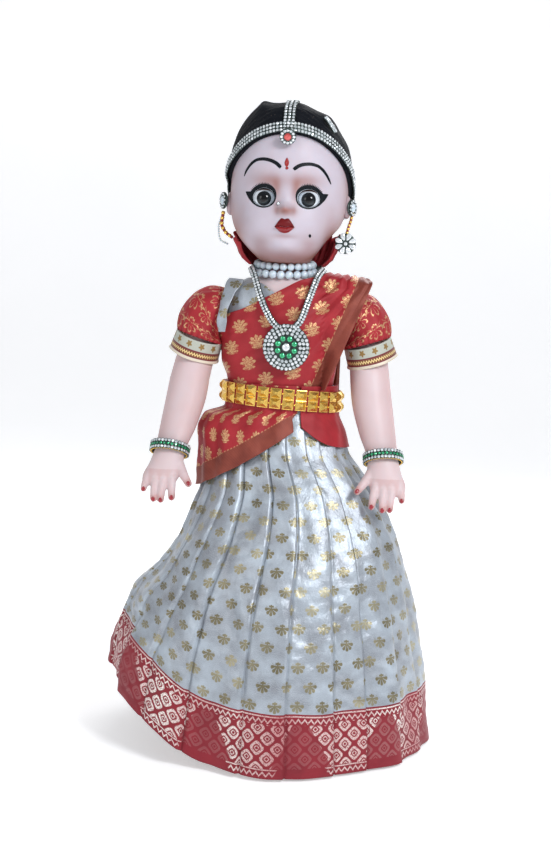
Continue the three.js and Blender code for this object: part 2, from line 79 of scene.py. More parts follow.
def add_area_light(name, place, target, size, power, colour):
    lamp = bpy.data.lights.new(name, "AREA")
    lamp.size = size
    lamp.energy = power
    lamp.color = colour
    holder = bpy.data.objects.new(name, lamp)
    away = np.array(place) - np.array(target)
    side = np.cross([0, 0, 1], away)
    side /= np.linalg.norm(side)
    away = away / np.linalg.norm(away)
    top = np.cross(away, side)
    matrix = Matrix.Identity(4)
    for row in range(3):
        matrix[row][0], matrix[row][1], matrix[row][2] = side[row], top[row], away[row]
        matrix[row][3] = place[row]
    holder.matrix_world = matrix
    bpy.context.scene.collection.objects.link(holder)


def add_studio():
    world = bpy.data.worlds.new("studio")
    world.use_nodes = True
    sky = world.node_tree.nodes["Background"]
    sky.inputs["Color"].default_value = (0.93, 0.95, 1.0, 1)
    sky.inputs["Strength"].default_value = 0.38
    bpy.context.scene.world = world
    add_area_light("key", (0.85, -1.15, 1.25), (0, 0, 0.35), 0.5, 19, (0.97, 0.98, 1.0))
    add_area_light("fill", (-1.2, -1.2, 0.9), (0, 0, 0.3), 0.8, 5, (1.0, 0.97, 0.95))
    add_area_light("rim", (0.3, 1.3, 1.2), (0, 0, 0.35), 0.9, 9, (1.0, 1.0, 1.0))
    bpy.context.scene.view_settings.view_transform = "Standard"


# ---- Materials ----


class Field:
    """A number or colour that varies over a surface, written with ordinary arithmetic."""

    def __init__(self, tree, socket):
        self.tree, self.socket = tree, socket

    def math(self, operation, *values):
        node = self.tree.nodes.new("ShaderNodeMath")
        node.operation = operation
        for socket, value in zip(node.inputs, values):
            if isinstance(value, Field):
                self.tree.links.new(value.socket, socket)
            else:
                socket.default_value = value
        return Field(self.tree, node.outputs[0])

    def __add__(self, other):
        return self.math("ADD", self, other)

    def __sub__(self, other):
        return self.math("SUBTRACT", self, other)

    def __rsub__(self, other):
        return self.math("SUBTRACT", other, self)

    def __mul__(self, other):
        return self.math("MULTIPLY", self, other)

    def __truediv__(self, other):
        return self.math("DIVIDE", self, other)

    __radd__ = __add__
    __rmul__ = __mul__

    def abs(self):
        return self.math("ABSOLUTE", self)

    def sin(self):
        return self.math("SINE", self)

    def cos(self):
        return self.math("COSINE", self)

    def floor(self):
        return self.math("FLOOR", self)

    def fract(self):
        return self.math("FRACT", self)

    def power(self, exponent):
        return self.math("POWER", self, exponent)

    def least(self, other):
        return self.math("MINIMUM", self, other)

    def most(self, other):
        return self.math("MAXIMUM", self, other)

    def clamped(self):
        return self.most(0.0).least(1.0)

    def below(self, limit, soft):
        """1 where the field is under the limit, 0 above it, over a soft edge of that width."""
        return ((limit - self) / soft + 0.5).clamped()

    def between(self, low, high, soft):
        return self.below(high, soft) * (1 - self.below(low, soft))


class Look:
    """A material being made: a Principled shader and the fields that drive it."""

    def __init__(self, name, **settings):
        self.material = bpy.data.materials.new(name)
        self.material.use_nodes = True
        self.tree = self.material.node_tree
        self.shader = self.tree.nodes["Principled BSDF"]
        for key, value in settings.items():
            self.shader.inputs[key.replace("_", " ")].default_value = value

    def node(self, kind, **settings):
        made = self.tree.nodes.new(kind)
        for key, value in settings.items():
            setattr(made, key, value)
        return made

    def parts(self, socket):
        split = self.node("ShaderNodeSeparateXYZ")
        self.tree.links.new(socket, split.inputs[0])
        return [Field(self.tree, out) for out in split.outputs]

    def place(self):
        """X, Y and Z on the piece, in millimetres."""
        return [part * 1000.0 for part in self.parts(self.node("ShaderNodeTexCoord").outputs["Object"])]

    def attribute(self, name):
        made = self.node("ShaderNodeAttribute", attribute_name=name)
        return self.parts(made.outputs["Vector"])

    def vector(self, fields):
        joined = self.node("ShaderNodeCombineXYZ")
        for field, socket in zip(fields, joined.inputs):
            self.tree.links.new(field.socket, socket)
        return joined.outputs[0]

    def noise(self, fields, size, detail=2.0, roughness=0.5):
        """Cloudy values round a half, with features of that size in millimetres."""
        made = self.node("ShaderNodeTexNoise")
        made.inputs["Scale"].default_value = 1 / size
        made.inputs["Detail"].default_value = detail
        made.inputs["Roughness"].default_value = roughness
        self.tree.links.new(self.vector(fields), made.inputs["Vector"])
        return Field(self.tree, made.outputs[0])

    def mix(self, share, first, second):
        made = self.node("ShaderNodeMix", data_type="RGBA")
        self.tree.links.new(share.socket, made.inputs[0])
        for value, socket in ((first, made.inputs[6]), (second, made.inputs[7])):
            if isinstance(value, Field):
                self.tree.links.new(value.socket, socket)
            else:
                socket.default_value = (*value, 1)
        return Field(self.tree, made.outputs[2])

    def drive(self, socket, field):
        self.tree.links.new(field.socket, self.shader.inputs[socket])

    def bump(self, height, depth):
        """Raises the surface by the height field times a depth in millimetres."""
        made = self.node("ShaderNodeBump")
        made.inputs["Distance"].default_value = depth * MM
        self.tree.links.new(height.socket, made.inputs["Height"])
        self.tree.links.new(made.outputs[0], self.shader.inputs["Normal"])


def vinyl_look(name, colour, blush_and_shade):
    look = Look(
        name,
        Roughness=0.5,
        Specular_IOR_Level=0.35,
        Subsurface_Weight=0.25,
        Subsurface_Scale=0.004,
        Subsurface_Radius=(1.0, 0.45, 0.35),
        Coat_Weight=0.03,
        Coat_Roughness=0.2,
    )
    x, y, z = look.place()
    cloud = look.noise((x, y, z), 22)
    speck = look.noise((x, y, z), 0.9, 3)
    # The second colour is mixed in by the tint: painted blush, with painted shade and painted highlight laid
    # into the skin.
    blush_and_shade_share = look.attribute("tint_and_painted_light")[0]
    share = (blush_and_shade_share + (cloud - 0.5) * 0.25 + (speck - 0.5) * 0.05).clamped()
    look.drive("Base Color", look.mix(share, colour, blush_and_shade))
    look.drive("Roughness", 0.44 + cloud * 0.12)
    look.bump(look.noise((x, y, z), 0.7, 3) * 0.5 + cloud * 0.5, 0.04)
    return look.material


def plain_look(name, colour, **settings):
    """One substance with fine grain, cloudy colour and uneven gloss."""
    look = Look(name, **settings)
    x, y, z = look.place()
    cloud = look.noise((x, y, z), 6)
    fine = look.noise((x, y, z), 0.6, 3)
    darker = tuple(value * 0.792 for value in colour)
    lighter = tuple(min(1.0, value * 1.12) for value in colour)
    look.drive("Base Color", look.mix((cloud * 0.6 + fine * 0.4).clamped(), darker, lighter))
    base = look.shader.inputs["Roughness"].default_value
    look.drive("Roughness", (base * 0.8 + cloud * base * 0.4).clamped())
    look.bump(fine, 0.03)
    return look.material


def hair_look():
    look = Look("hair", Sheen_Weight=0.02, Sheen_Roughness=0.6, Specular_IOR_Level=0.1)
    x, y, z = look.place()
    strand = look.noise((x * 0.15, y * 1.6, z * 0.5), 0.8, 4)
    cloud = look.noise((x, y, z), 9)
    dust = look.noise((x, y, z), 1.1, 1).below(0.27, 0.03)
    colour = look.mix(strand, (0.001, 0.0018, 0.0035), (0.005, 0.007, 0.012))
    look.drive("Base Color", look.mix(dust * 0.45, colour, (0.22, 0.16, 0.13)))
    look.drive("Roughness", 0.62 + cloud * 0.2)
    look.bump(strand, 0.35)
    return look.material


def stone_look(name, bright, dark, metallic):
    """Cut glass over foil. Painted glints: each stone's colour is mixed between a dark and a bright one by a
    random share per stone and fine noise; the facets also mirror the room.
    """
    look = Look(name, Metallic=metallic, Roughness=0.07, Coat_Weight=1.0, Coat_Roughness=0.02)
    x, y, z = look.place()
    glint_share = look.attribute("tint_and_painted_light")[0]
    glint_noise = look.noise((x, y, z), 0.8, 2)
    share = (glint_share * 0.55 + (glint_noise - 0.5) * 1.2 + 0.36).clamped()
    look.drive("Base Color", look.mix(share, dark, bright))
    look.drive("Roughness", 0.04 + glint_noise * 0.10)
    look.bump(glint_noise, 0.03)
    return look.material


def metal_look(name, bright, dark, roughness=0.25):
    look = Look(name, Metallic=1.0)
    x, y, z = look.place()
    tarnish = look.noise((x, y, z), 2.2, 4)
    scratch = look.noise((x * 4, y, z * 0.4), 0.6, 3)
    look.drive("Base Color", look.mix((tarnish * 1.5 - 0.25).clamped(), dark, bright))
    look.drive("Roughness", roughness + (1 - tarnish) * 0.22 + (scratch - 0.5) * 0.08)
    look.bump(scratch * 0.4 + tarnish * 0.6, 0.05)
    return look.material


def pearl_look():
    look = Look("pearl", Coat_Weight=0.7, Coat_Roughness=0.08, Specular_IOR_Level=0.7, Subsurface_Weight=0.1)
    look.shader.inputs["Subsurface Scale"].default_value = 0.001
    x, y, z = look.place()
    cloud = look.noise((x, y, z), 2.5)
    look.drive("Base Color", look.mix(cloud, (0.42, 0.52, 0.60), (0.66, 0.75, 0.82)))
    look.drive("Roughness", 0.18 + cloud * 0.12)
    look.bump(look.noise((x, y, z), 0.5), 0.01)
    return look.material


def eye_look():
    """A foil-backed eye: silver white, dark iris with radial rays, black pupil and rim."""
    look = Look("eye", Coat_Weight=1.0, Coat_Roughness=0.01, Coat_IOR=1.38, Specular_IOR_Level=0.1)
    x, y, z = look.place()
    side, rise = x.abs() - EYE_X, z - EYE_Z
    radius = (side * side + rise * rise).power(0.5)
    angle = side.math("ARCTAN2", side, rise)
    ray = look.noise((angle * 9.0, radius * 0.6, angle * 0), 1.0, 3)
    low = (0.35 - rise * 0.16).clamped()
    iris = look.mix((ray * low).clamped(), (0.001, 0.002, 0.004), (0.012, 0.018, 0.022))
    rim = radius.between(3.7, 4.9, 0.9) * low
    iris = look.mix(rim * 0.5, iris, (0.03, 0.045, 0.05))
    pupil = look.mix(radius.below(2.9, 0.3), iris, (0.001, 0.001, 0.002))
    ringed = look.mix(radius.between(5.5, 7.3, 0.5), pupil, (0.003, 0.004, 0.006))
    cloud = look.noise((x, y, z), 3.0)
    white = look.mix(cloud, (0.55, 0.60, 0.66), (0.88, 0.92, 0.96))
    colour = look.mix(radius.below(6.7, 0.25), white, ringed)
    look.drive("Base Color", colour)
    look.drive("Roughness", 0.12 + cloud * 0.12)
    look.drive("Metallic", (1 - radius.below(6.9, 0.2)) * 0.35)
    return look.material


def weave_height(u, v, pitch):
    """Over and under of two sets of threads."""
    across = (u * (TAU / pitch)).sin()
    along = (v * (TAU / pitch)).sin()
    return across * along * 0.5 + 0.5


def in_cells(u, v, wide, tall):
    """Staggered rows: the place inside each cell, from its middle."""
    row = (v / tall).floor()
    odd = (row * 0.5).fract()
    return ((u / wide + odd).fract() - 0.5) * wide, ((v / tall).fract() - 0.5) * tall


def spray(p, q, size, petals, narrow, depth):
    """A fan of petals on a short stalk, about twice as tall as its size."""
    low = q + size * 0.55
    reach = (p * p * narrow * narrow + low * low).power(0.5)
    angle = low.math("ARCTAN2", p * narrow, low)
    lobe = (angle * petals).cos().abs().power(0.7)
    fan = (reach - size * 1.45 * ((1 - depth) + depth * lobe)).below(0, size * 0.12)
    gap = lobe.below(0.42, 0.12) * (1 - reach.below(size * 0.45, 0.3))
    fan = fan * angle.abs().below(1.9, 0.3) * (1 - gap * 0.9)
    stalk = p.abs().below(size * 0.16, 0.2) * low.between(-size * 0.75, size * 0.2, 0.3)
    foot = ((p.abs() * 0.8).most((low + size * 0.42).abs() * 2.2)).below(size * 0.42, 0.2)
    return fan.most(stalk).most(foot)


def satin_look():
    """Silver-blue satin with woven lotus motifs in dull gold thread."""
    look = Look("silver_satin", Sheen_Weight=0.25, Sheen_Roughness=0.35, Specular_IOR_Level=0.6)
    look.shader.inputs["Anisotropic"].default_value = 0.4
    u, v, _ = look.attribute("cloth")
    wave = look.noise((u, v, u * 0), 9)
    us, vs = u + (wave - 0.5) * 1.2, v + (wave - 0.5) * 0.8
    p, q = in_cells(us, vs, 23.0, 15.5)
    motif = spray(p, q, 4.4, 4.4, 1.0, 0.25)
    thread = (vs * (TAU / 0.85) + (us * 1.7).sin()).sin() * 0.5 + 0.5
    broken = look.noise((us, vs * 2.0, us * 0), 0.9, 2)
    glint = (thread * 0.6 + broken * 0.9 - 0.45).clamped()
    lit = (look.noise((u, v, u * 0), 60, 1) * 3.0 - 1.25).clamped()
    gold = look.mix(glint, (0.13, 0.115, 0.065), (0.40, 0.35, 0.21))
    gold = look.mix(lit * 0.6, gold, (0.68, 0.64, 0.46))
    cloud = look.noise((u, v, u * 0), 26, 3)
    fine = look.noise((u * 3, v, u * 0), 0.7, 2)
    # Painted light and shade: the ground is mixed between a shaded grey and a lit silver-blue in broad cloudy
    # patches.
    ground = look.mix((cloud * 2.4 - 0.7).clamped(), (0.17, 0.175, 0.20), (0.42, 0.49, 0.56))
    # Fine streaks towards pale silver: the weave's grain, with painted highlights.
    ground = look.mix((fine * 2.0 - 0.75).clamped(), ground, (0.62, 0.68, 0.74))
    look.drive("Base Color", look.mix(motif, ground, gold))
    look.drive("Metallic", 0.42 + motif * 0.2)
    look.drive("Roughness", 0.34 + cloud * 0.10 - motif * 0.05)
    crinkle = look.noise((u, v * 0.7, u * 0), 7, 4, 0.62)
    look.bump(weave_height(u, v, 0.9) * 0.05 + motif * 0.07 + fine * 0.03 + crinkle * 1.2, 0.7)
    return look.material


def zari(look, u, v, size):
    """Painted glints on metal thread: the share of bright colour, in broken patches."""
    broken = look.noise((u * 1.6, v, u * 0), size, 3, 0.65)
    return (broken * 2.4 - 0.72).clamped()


def red_ground(look, u, v, dark=(0.20, 0.006, 0.011), light=(0.50, 0.028, 0.040)):
    cloud = look.noise((u, v, u * 0), 24, 3)
    fine = look.noise((u, v * 2.5, u * 0), 0.8, 2)
    return look.mix((cloud * 0.9 + fine * 0.5 - 0.25).clamped(), dark, light), cloud, fine


def red_look(name, motif=None, border=None, selvedge=None):
    """Red silk. motif gives the woven sprays, border the width of the copper band along w = 0."""
    sheen = {"Sheen_Weight": 0.1, "Sheen_Roughness": 0.4, "Sheen_Tint": (1.0, 0.4, 0.4, 1)}
    look = Look(name, Specular_IOR_Level=0.35, **sheen)
    u, v, w = look.attribute("cloth")
    ground, cloud, fine = red_ground(look, u, v)
    # Painted glints on the gold thread.
    bright = zari(look, u, v, 1.0)
    gold = look.mix(bright, (0.34, 0.10, 0.04), (0.92, 0.70, 0.36))
    shade = fine * 0
    if motif:
        wobble = look.noise((u, v, u * 0), 7)
        us, vs = u + (wobble - 0.5) * 2.2, v + (wobble - 0.5) * 1.6
        p, q = in_cells(us, vs, motif["wide"], motif["tall"])
        leaf = spray(p, q, motif["size"], motif["petals"], motif["narrow"], 0.5)
        if motif.get("stacked"):
            low = q + motif["size"] * 1.15
            leaf = leaf.most(spray(p, low, motif["size"] * 0.8, motif["petals"], motif["narrow"], 0.5))
        veins = look.noise((us, vs, u * 0), 1.15, 1).between(0.44, 0.53, 0.03)
        shade = leaf * (1 - veins * 0.85)
        if motif.get("outlined"):
            shade = shade * (1 - spray(p, q, motif["size"] * 0.78, motif["petals"], motif["narrow"], 0.5))
    if border:
        inside = w.below(border, 0.3)
        shade = shade * (1 - inside)
    if motif or border:
        ground = look.mix(shade, ground, gold)
    if border:
        # The copper band is lighter along its woven ribs and in broad cloudy patches.
        rib = (w * (TAU / 1.05)).sin() * 0.5 + 0.5
        fold = look.noise((u, v, w * 0), 14, 2)
        copper_share = (rib * 0.4 + fold * 0.8 - 0.15).clamped()
        copper = look.mix(copper_share, (0.12, 0.016, 0.011), (0.34, 0.080, 0.050))
        ground = look.mix(inside, ground, copper)
        edge = w.between(border - 0.2, border + 0.7, 0.3) * (u * (TAU / 3.2)).sin().below(0.2, 0.5) * 0.45
        ground = look.mix(edge, ground, gold)
        shade = shade.most(edge).most(inside * rib * 0.3)
    if selvedge:
        strip = u.between(selvedge[0], selvedge[1], 0.3)
        grey = look.mix(look.noise((u, v, u * 0), 0.8, 2), (0.13, 0.10, 0.08), (0.50, 0.46, 0.40))
        ground = look.mix(strip, ground, grey)
        shade = shade.most(strip * 0.6)
    look.drive("Base Color", ground)
    look.drive("Metallic", 0.08 + shade * 0.55)
    look.drive("Roughness", 0.50 + cloud * 0.12 - shade * 0.18)
    look.bump(weave_height(u, v, 0.9) * 0.4 + shade * 0.5 + fine * 0.2, 0.10)
    return look.material


def lattice_look():
    """The skirt's border: red silk with a lattice of nested squares in silver-gold thread.

    v is the height above the hem edge. The lattice fills broad triangles, with zigzags above and below it.
    """
    look = Look("border_silk", Sheen_Weight=0.08, Sheen_Roughness=0.4, Specular_IOR_Level=0.35)
    u, v, _ = look.attribute("cloth")
    ground, cloud, fine = red_ground(look, u, v, (0.15, 0.008, 0.016), (0.34, 0.022, 0.036))
    pitch = 12.4
    wobble = look.noise((u, v, u * 0), 8)
    us, vs = u + (wobble - 0.5) * 1.0, v + (wobble - 0.5) * 1.0
    a = (((us + vs) / (pitch * math.sqrt(2))).fract() - 0.5) * pitch
    b = (((us - vs) / (pitch * math.sqrt(2))).fract() - 0.5) * pitch
    square = ((a.abs().power(4.0)) + (b.abs().power(4.0))).power(0.25)
    rings = square.between(3.0, 5.1, 0.35).most(square.between(1.1, 1.9, 0.3))
    span = 94.0
    slope = ((us / span + 0.35).fract() - 0.5).abs() * span
    zone = (slope - v * 0.55).below(14.0, 1.0)
    middle = v.between(9.0, 47.0, 0.6)
    teeth = ((us / 5.4).fract() - 0.5).abs() * 2.0
    top_row = (v - 48.5 - teeth * 3.4).abs().below(0.9, 0.4).most(v.between(53.6, 54.8, 0.3))
    low_row = (v - 2.6 - teeth * 3.4).abs().below(0.9, 0.4).most(v.between(7.6, 8.6, 0.3))
    rows = top_row.most(low_row)
    wide_zone = (slope - v * 0.55).below(20.0, 1.0)
    motif = (rings * zone * middle).most(rows * wide_zone)
    missing = look.noise((u, v, u * 0), 1.1, 2).below(0.42, 0.06)
    motif = (motif * (1 - missing * 0.85)).most(rings * middle * 0.10)
    # Painted shade: in broad patches along the border the silver thread is pinkish and unlit; elsewhere it
    # carries painted glints.
    thread_shade = (look.noise((u, v * 0, u * 0), 60, 1) * 2.6 - 0.9).clamped()
    bright = (zari(look, u, v, 1.2) * 1.5).clamped()
    silver = look.mix(bright, (0.50, 0.32, 0.27), (0.97, 0.94, 0.90))
    thread = look.mix(thread_shade, silver, (0.47, 0.16, 0.17))
    look.drive("Base Color", look.mix(motif, ground, thread))
    look.drive("Metallic", 0.06 + motif * 0.35)
    look.drive("Roughness", 0.50 + cloud * 0.10 - motif * 0.12)
    look.bump(weave_height(u, v, 0.9) * 0.35 + motif * 0.5 + fine * 0.25, 0.10)
    return look.material


def trim_look():
    """The sleeve's woven band. From its upper edge down: silver, maroon, gold zigzag, maroon, cream."""
    look = Look("trim", Sheen_Weight=0.2, Sheen_Roughness=0.4)
    u, v, _ = look.attribute("cloth")
    fine = look.noise((u, v * 2, u * 0), 0.7, 2)
    silver = look.mix(fine, (0.30, 0.32, 0.28), (0.60, 0.62, 0.53))
    p = ((u / 13.0).fract() - 0.5) * 13.0
    butta = (p * p + (v - 4.2) * (v - 4.2)).power(0.5)
    petal = (butta - 2.5 - (p.math("ARCTAN2", p, v - 4.2) * 5.0).cos() * 0.7).below(0, 0.4)
    colour = look.mix(petal, silver, (0.28, 0.17, 0.05))
    maroon = v.between(8.6, 10.0, 0.2).most(v.between(14.0, 15.2, 0.2))
    colour = look.mix(maroon, colour, (0.16, 0.014, 0.020))
    zigzag = ((u / 2.6).fract() - 0.5).abs() * 2.0
    band = v.between(10.0, 14.0, 0.2)
    line = (v - 11.0 - zigzag * 2.0).abs().below(0.75, 0.3)
    golden = look.mix(line, (0.20, 0.07, 0.03), (0.86, 0.66, 0.30))
    colour = look.mix(band, colour, golden)
    colour = look.mix(1 - v.below(15.2, 0.2), colour, (0.70, 0.62, 0.50))
    look.drive("Base Color", colour)
    look.drive("Metallic", 0.10 + band * 0.4 + petal * 0.3)
    look.drive("Roughness", 0.42 + fine * 0.15)
    look.bump(weave_height(u, v, 0.8) * 0.5 + line * band * 0.5 + petal * 0.3, 0.12)
    return look.material


# ---- Meshes ----


def put(
    name, points, faces, look, body, stands_for=(), smooth=True, cloth=None, tint_and_painted_light=None, thick=0.0, slot=None
):
    """Makes one piece from points in millimetres and lets it ride on a body. Its slot argument is not used.
    """
    mesh = bpy.data.meshes.new(name)
    places = np.asarray(points, float).reshape(-1, 3) * MM
    mesh.from_pydata(places.tolist(), [], [tuple(map(int, face)) for face in faces])
    if cloth is not None:
        values = mesh.attributes.new("cloth", "FLOAT_VECTOR", "POINT")
        values.data.foreach_set("vector", np.asarray(cloth, np.float32).ravel())
    # The tint carries blush, painted shade and painted highlight on the skins, and painted glints on the
    # stones.
    if tint_and_painted_light is not None:
        spread = np.repeat(np.asarray(tint_and_painted_light, np.float32)[:, None], 3, axis=1)
        values = mesh.attributes.new("tint_and_painted_light", "FLOAT_VECTOR", "POINT")
        values.data.foreach_set("vector", spread.ravel())
    mesh.materials.append(LOOKS[look])
    mesh.validate()
    if smooth:
        mesh.shade_smooth()
    else:
        mesh.shade_flat()
    piece = bpy.data.objects.new(name, mesh)
    bpy.context.scene.collection.objects.link(piece)
    if thick:
        shell = piece.modifiers.new("cloth thickness", "SOLIDIFY")
        shell.thickness = thick * MM
        shell.offset = -1
    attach(piece, body)
    slot = slot or SLOTS.get(look)
    if stands_for:
        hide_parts(*stands_for)
    return piece


def grid_faces(rows, columns, around=False, flip=False):
    """Quads between rows of points. around joins the last column to the first."""
    faces = []
    for i in range(rows - 1):
        for k in range(columns if around else columns - 1):
            low, high = i * columns, (i + 1) * columns
            face = (low + k, low + (k + 1) % columns, high + (k + 1) % columns, high + k)
            faces.append(face[::-1] if flip else face)
    return faces


def caps(columns, total):
    """The end faces of a closed grid with that many columns and points."""
    return [tuple(range(columns))[::-1], tuple(range(total - columns, total))]


def fan(ring, tip, flip=False):
    faces = [(ring[k], ring[(k + 1) % len(ring)], tip) for k in range(len(ring))]
    return [face[::-1] for face in faces] if flip else faces


def ease(value, low=0.0, high=1.0):
    share = np.clip((value - low) / (high - low), 0, 1)
    return share * share * (3 - 2 * share)


def smooth_columns(knots, values, at):
    """Cubic interpolation of each column of values that keeps their rises and falls."""
    knots, values, at = (np.asarray(item, float) for item in (knots, values, at))
    steps = np.diff(knots)[:, None]
    rises = np.diff(values, axis=0) / steps
    slopes = np.zeros_like(values)
    slopes[0], slopes[-1] = rises[0], rises[-1]
    before, after = rises[:-1], rises[1:]
    same = before * after > 0
    safe_before, safe_after = np.where(same, before, 1), np.where(same, after, 1)
    first, second = 2 * steps[1:] + steps[:-1], steps[1:] + 2 * steps[:-1]
    slopes[1:-1] = np.where(same, (first + second) / (first / safe_before + second / safe_after), 0)
    k = np.clip(np.searchsorted(knots, at, side="right") - 1, 0, len(knots) - 2)
    h = steps[k]
    t = ((at - knots[k]) / h[:, 0])[:, None]
    return (
        (2 * t**3 - 3 * t**2 + 1) * values[k]
        + (t**3 - 2 * t**2 + t) * h * slopes[k]
        + (3 * t**2 - 2 * t**3) * values[k + 1]
        + (t**3 - t**2) * h * slopes[k + 1]
    )


def lengths_along(points):
    return np.concatenate([[0], np.cumsum(np.linalg.norm(np.diff(points, axis=0), axis=1))])


def smooth_path(points, count):
    """Evenly spaced points on a smooth curve through the given ones."""
    points = np.asarray(points, float)
    knots = lengths_along(points)
    curve = smooth_columns(knots, points, np.linspace(0, knots[-1], 600))
    return evenly(curve, count)


def evenly(points, count, closed=False):
    along = lengths_along(points)
    wanted = np.linspace(0, along[-1], count + 1)[:-1] if closed else np.linspace(0, along[-1], count)
    return np.stack([np.interp(wanted, along, points[:, axis]) for axis in range(points.shape[1])], axis=1)


def unit(vectors):
    return vectors / np.maximum(np.linalg.norm(vectors, axis=-1, keepdims=True), 1e-9)


class Form:
    """A rounded form through level ovals: height, half-width, front, back, rise and shift."""

    def __init__(self, rows):
        rows = np.array(sorted(tuple(row) + (0,) * (6 - len(row)) for row in rows), float)
        along = lengths_along(rows[:, :2])
        self.table = smooth_columns(along, rows, np.linspace(0, along[-1], 600))
        self.along = np.linspace(0, along[-1], 600)
        self.low, self.high = rows[0, 0], rows[-1, 0]

    def columns(self, z):
        return [np.interp(z, self.table[:, 0], self.table[:, i]) for i in range(1, 6)]

    def heights(self, count, low=None, high=None):
        """Heights evenly spaced along the profile."""
        low = self.low if low is None else low
        high = self.high if high is None else high
        ends = np.interp([low, high], self.table[:, 0], self.along)
        return np.interp(np.linspace(*ends, count), self.along, self.table[:, 0])

    def point(self, angle, z, offset=0.0):
        half, front, back, rise, shift = self.columns(z)
        x = shift + (half + offset) * np.cos(angle)
        y = (front + back) / 2 + ((back - front) / 2 + offset) * np.sin(angle)
        return np.stack(np.broadcast_arrays(x, y, z + rise * offset), axis=-1)

    def normal(self, angle, z, offset=0.0):
        around = self.point(angle + 0.01, z, offset) - self.point(angle - 0.01, z, offset)
        up = self.point(angle, z + 0.4, offset) - self.point(angle, z - 0.4, offset)
        return unit(np.cross(around, up))

    def front(self, x, z):
        """The form's front surface, where it faces -Y."""
        half, front, back, _, shift = self.columns(z)
        share = np.clip((x - shift) / half, -0.999, 0.999)
        return (front + back) / 2 - (back - front) / 2 * np.sqrt(1 - share * share)


def copies(template, places):
    """The points and faces of one template set at many places, each an origin and three axes."""
    corners, shapes = template
    points, faces = [], []
    for i, (origin, axes) in enumerate(places):
        points.append(origin + corners @ axes)
        faces += [tuple(i * len(corners) + k for k in shape) for shape in shapes]
    return np.vstack(points), faces


def ring_points(radius, height, sides, turn=0.0):
    angle = TAU * (np.arange(sides) + turn) / sides
    return np.stack([radius * np.cos(angle), radius * np.sin(angle), np.full(sides, height)], axis=1)


def gem(radius, height, sides=8):
    """A cut stone: girdle, crown facets and a flat table."""
    rings = [
        ring_points(radius * 0.96, -0.3 * height, sides),
        ring_points(radius, 0.25 * height, sides),
        ring_points(radius * 0.82, 0.75 * height, sides, 0.5),
        ring_points(radius * 0.48, height, sides),
    ]
    faces = [tuple(3 * sides + k for k in range(sides))]
    for level in range(3):
        low, high = level * sides, (level + 1) * sides
        for k in range(sides):
            after = (k + 1) % sides
            faces += [(low + k, low + after, high + after), (low + k, high + after, high + k)]
    faces.append(tuple(k for k in reversed(range(sides))))
    return np.vstack(rings), faces


def cup(radius, height, sides=8):
    """The metal cup under a stone, with four claws on its rim."""
    rings = [
        ring_points(radius * 0.9, -0.5 * height, sides),
        ring_points(radius * 1.16, -0.2 * height, sides),
        ring_points(radius * 1.16, 0.35 * height, sides),
        ring_points(radius * 0.98, 0.4 * height, sides),
    ]
    faces = [tuple(reversed(range(sides)))]
    for level in range(3):
        low, high = level * sides, (level + 1) * sides
        for k in range(sides):
            after = (k + 1) % sides
            faces.append((low + k, low + after, high + after, high + k))
    faces.append(tuple(3 * sides + k for k in range(sides)))
    points = [np.vstack(rings)]
    for k in range(4):
        angle = TAU * (k + 0.5) / 4
        middle = np.array([math.cos(angle), math.sin(angle), 0]) * radius
        base = 4 * sides + 4 * k
        claw = [middle * 1.12, middle * 1.12, middle * 0.78, middle * 1.0]
        heights = [0.0, 0.85, 0.95, 0.1]
        width = np.array([-math.sin(angle), math.cos(angle), 0]) * radius * 0.16
        corners = [claw[0] - width, claw[0] + width, claw[2], claw[1]]
        points.append(np.array([corner + [0, 0, h * height] for corner, h in zip(corners, heights)]))
        faces += [(base, base + 1, base + 3), (base + 1, base + 2, base + 3), (base + 2, base, base + 3)]
    return np.vstack(points), faces


def bead(radius, sides=10, rows=6, tall=1.0):
    turns = math.pi * np.arange(1, rows) / rows
    rings = [ring_points(radius * math.sin(turn), -tall * radius * math.cos(turn), sides) for turn in turns]
    points = np.vstack(rings + [[[0, 0, -tall * radius]], [[0, 0, tall * radius]]])
    count = len(rings) * sides
    faces = grid_faces(len(rings), sides, around=True)
    faces += fan(list(range(sides)), count, flip=True)
    faces += fan(list(range(count - sides, count)), count + 1)
    return points, faces


def frames_on(path, out, closed):
    """Axes at each point of a path: along it, across it, and out of the surface."""
    if closed:
        along = unit(np.roll(path, -1, axis=0) - np.roll(path, 1, axis=0))
    else:
        along = unit(np.gradient(path, axis=0))
    across = unit(np.cross(out, along))
    return along, across, unit(np.cross(along, across))


def ribbon(path, out, half, thick, closed):
    """A flat band along a path, with rounded edges."""
    _, across, out = frames_on(path, out, closed)
    section = [(-1, 0), (-1, 0.6), (-0.92, 1), (0.92, 1), (1, 0.6), (1, 0)]
    rings = np.stack([path + across * (half * a) + out * (thick * h) for a, h in section], axis=1)
    count = len(path)
    points = rings.reshape(-1, 3)
    faces = grid_faces(count + (1 if closed else 0), len(section), around=True)
    faces = [tuple(k % len(points) for k in face) for face in faces]
    if not closed:
        faces += caps(len(section), len(points))
    return points, faces


def tube(path, radius, sides=10, closed=False):
    path = np.asarray(path, float)
    step = np.roll(path, -1, axis=0) - np.roll(path, 1, axis=0) if closed else np.gradient(path, axis=0)
    along = unit(step)
    helper = np.where(np.abs(along[:, 2:]) > 0.9, [[1.0, 0, 0]], [[0, 0, 1.0]])
    side = unit(np.cross(along, helper))
    top = np.cross(side, along)
    angle = TAU * np.arange(sides) / sides
    radius = np.broadcast_to(radius, len(path))[:, None, None]
    rings = path[:, None] + radius * (
        side[:, None] * np.cos(angle)[None, :, None] + top[:, None] * np.sin(angle)[None, :, None]
    )
    points = rings.reshape(-1, 3)
    faces = grid_faces(len(path) + (1 if closed else 0), sides, around=True)
    faces = [tuple(k % len(points) for k in face) for face in faces]
    if not closed:
        faces += caps(sides, len(points))
    return points, faces


def joined(*parts):
    """Several point and face lists as one."""
    points, faces = [], []
    for corners, shapes in parts:
        start = sum(len(item) for item in points)
        points.append(corners)
        faces += [tuple(start + k for k in shape) for shape in shapes]
    return np.vstack(points), faces


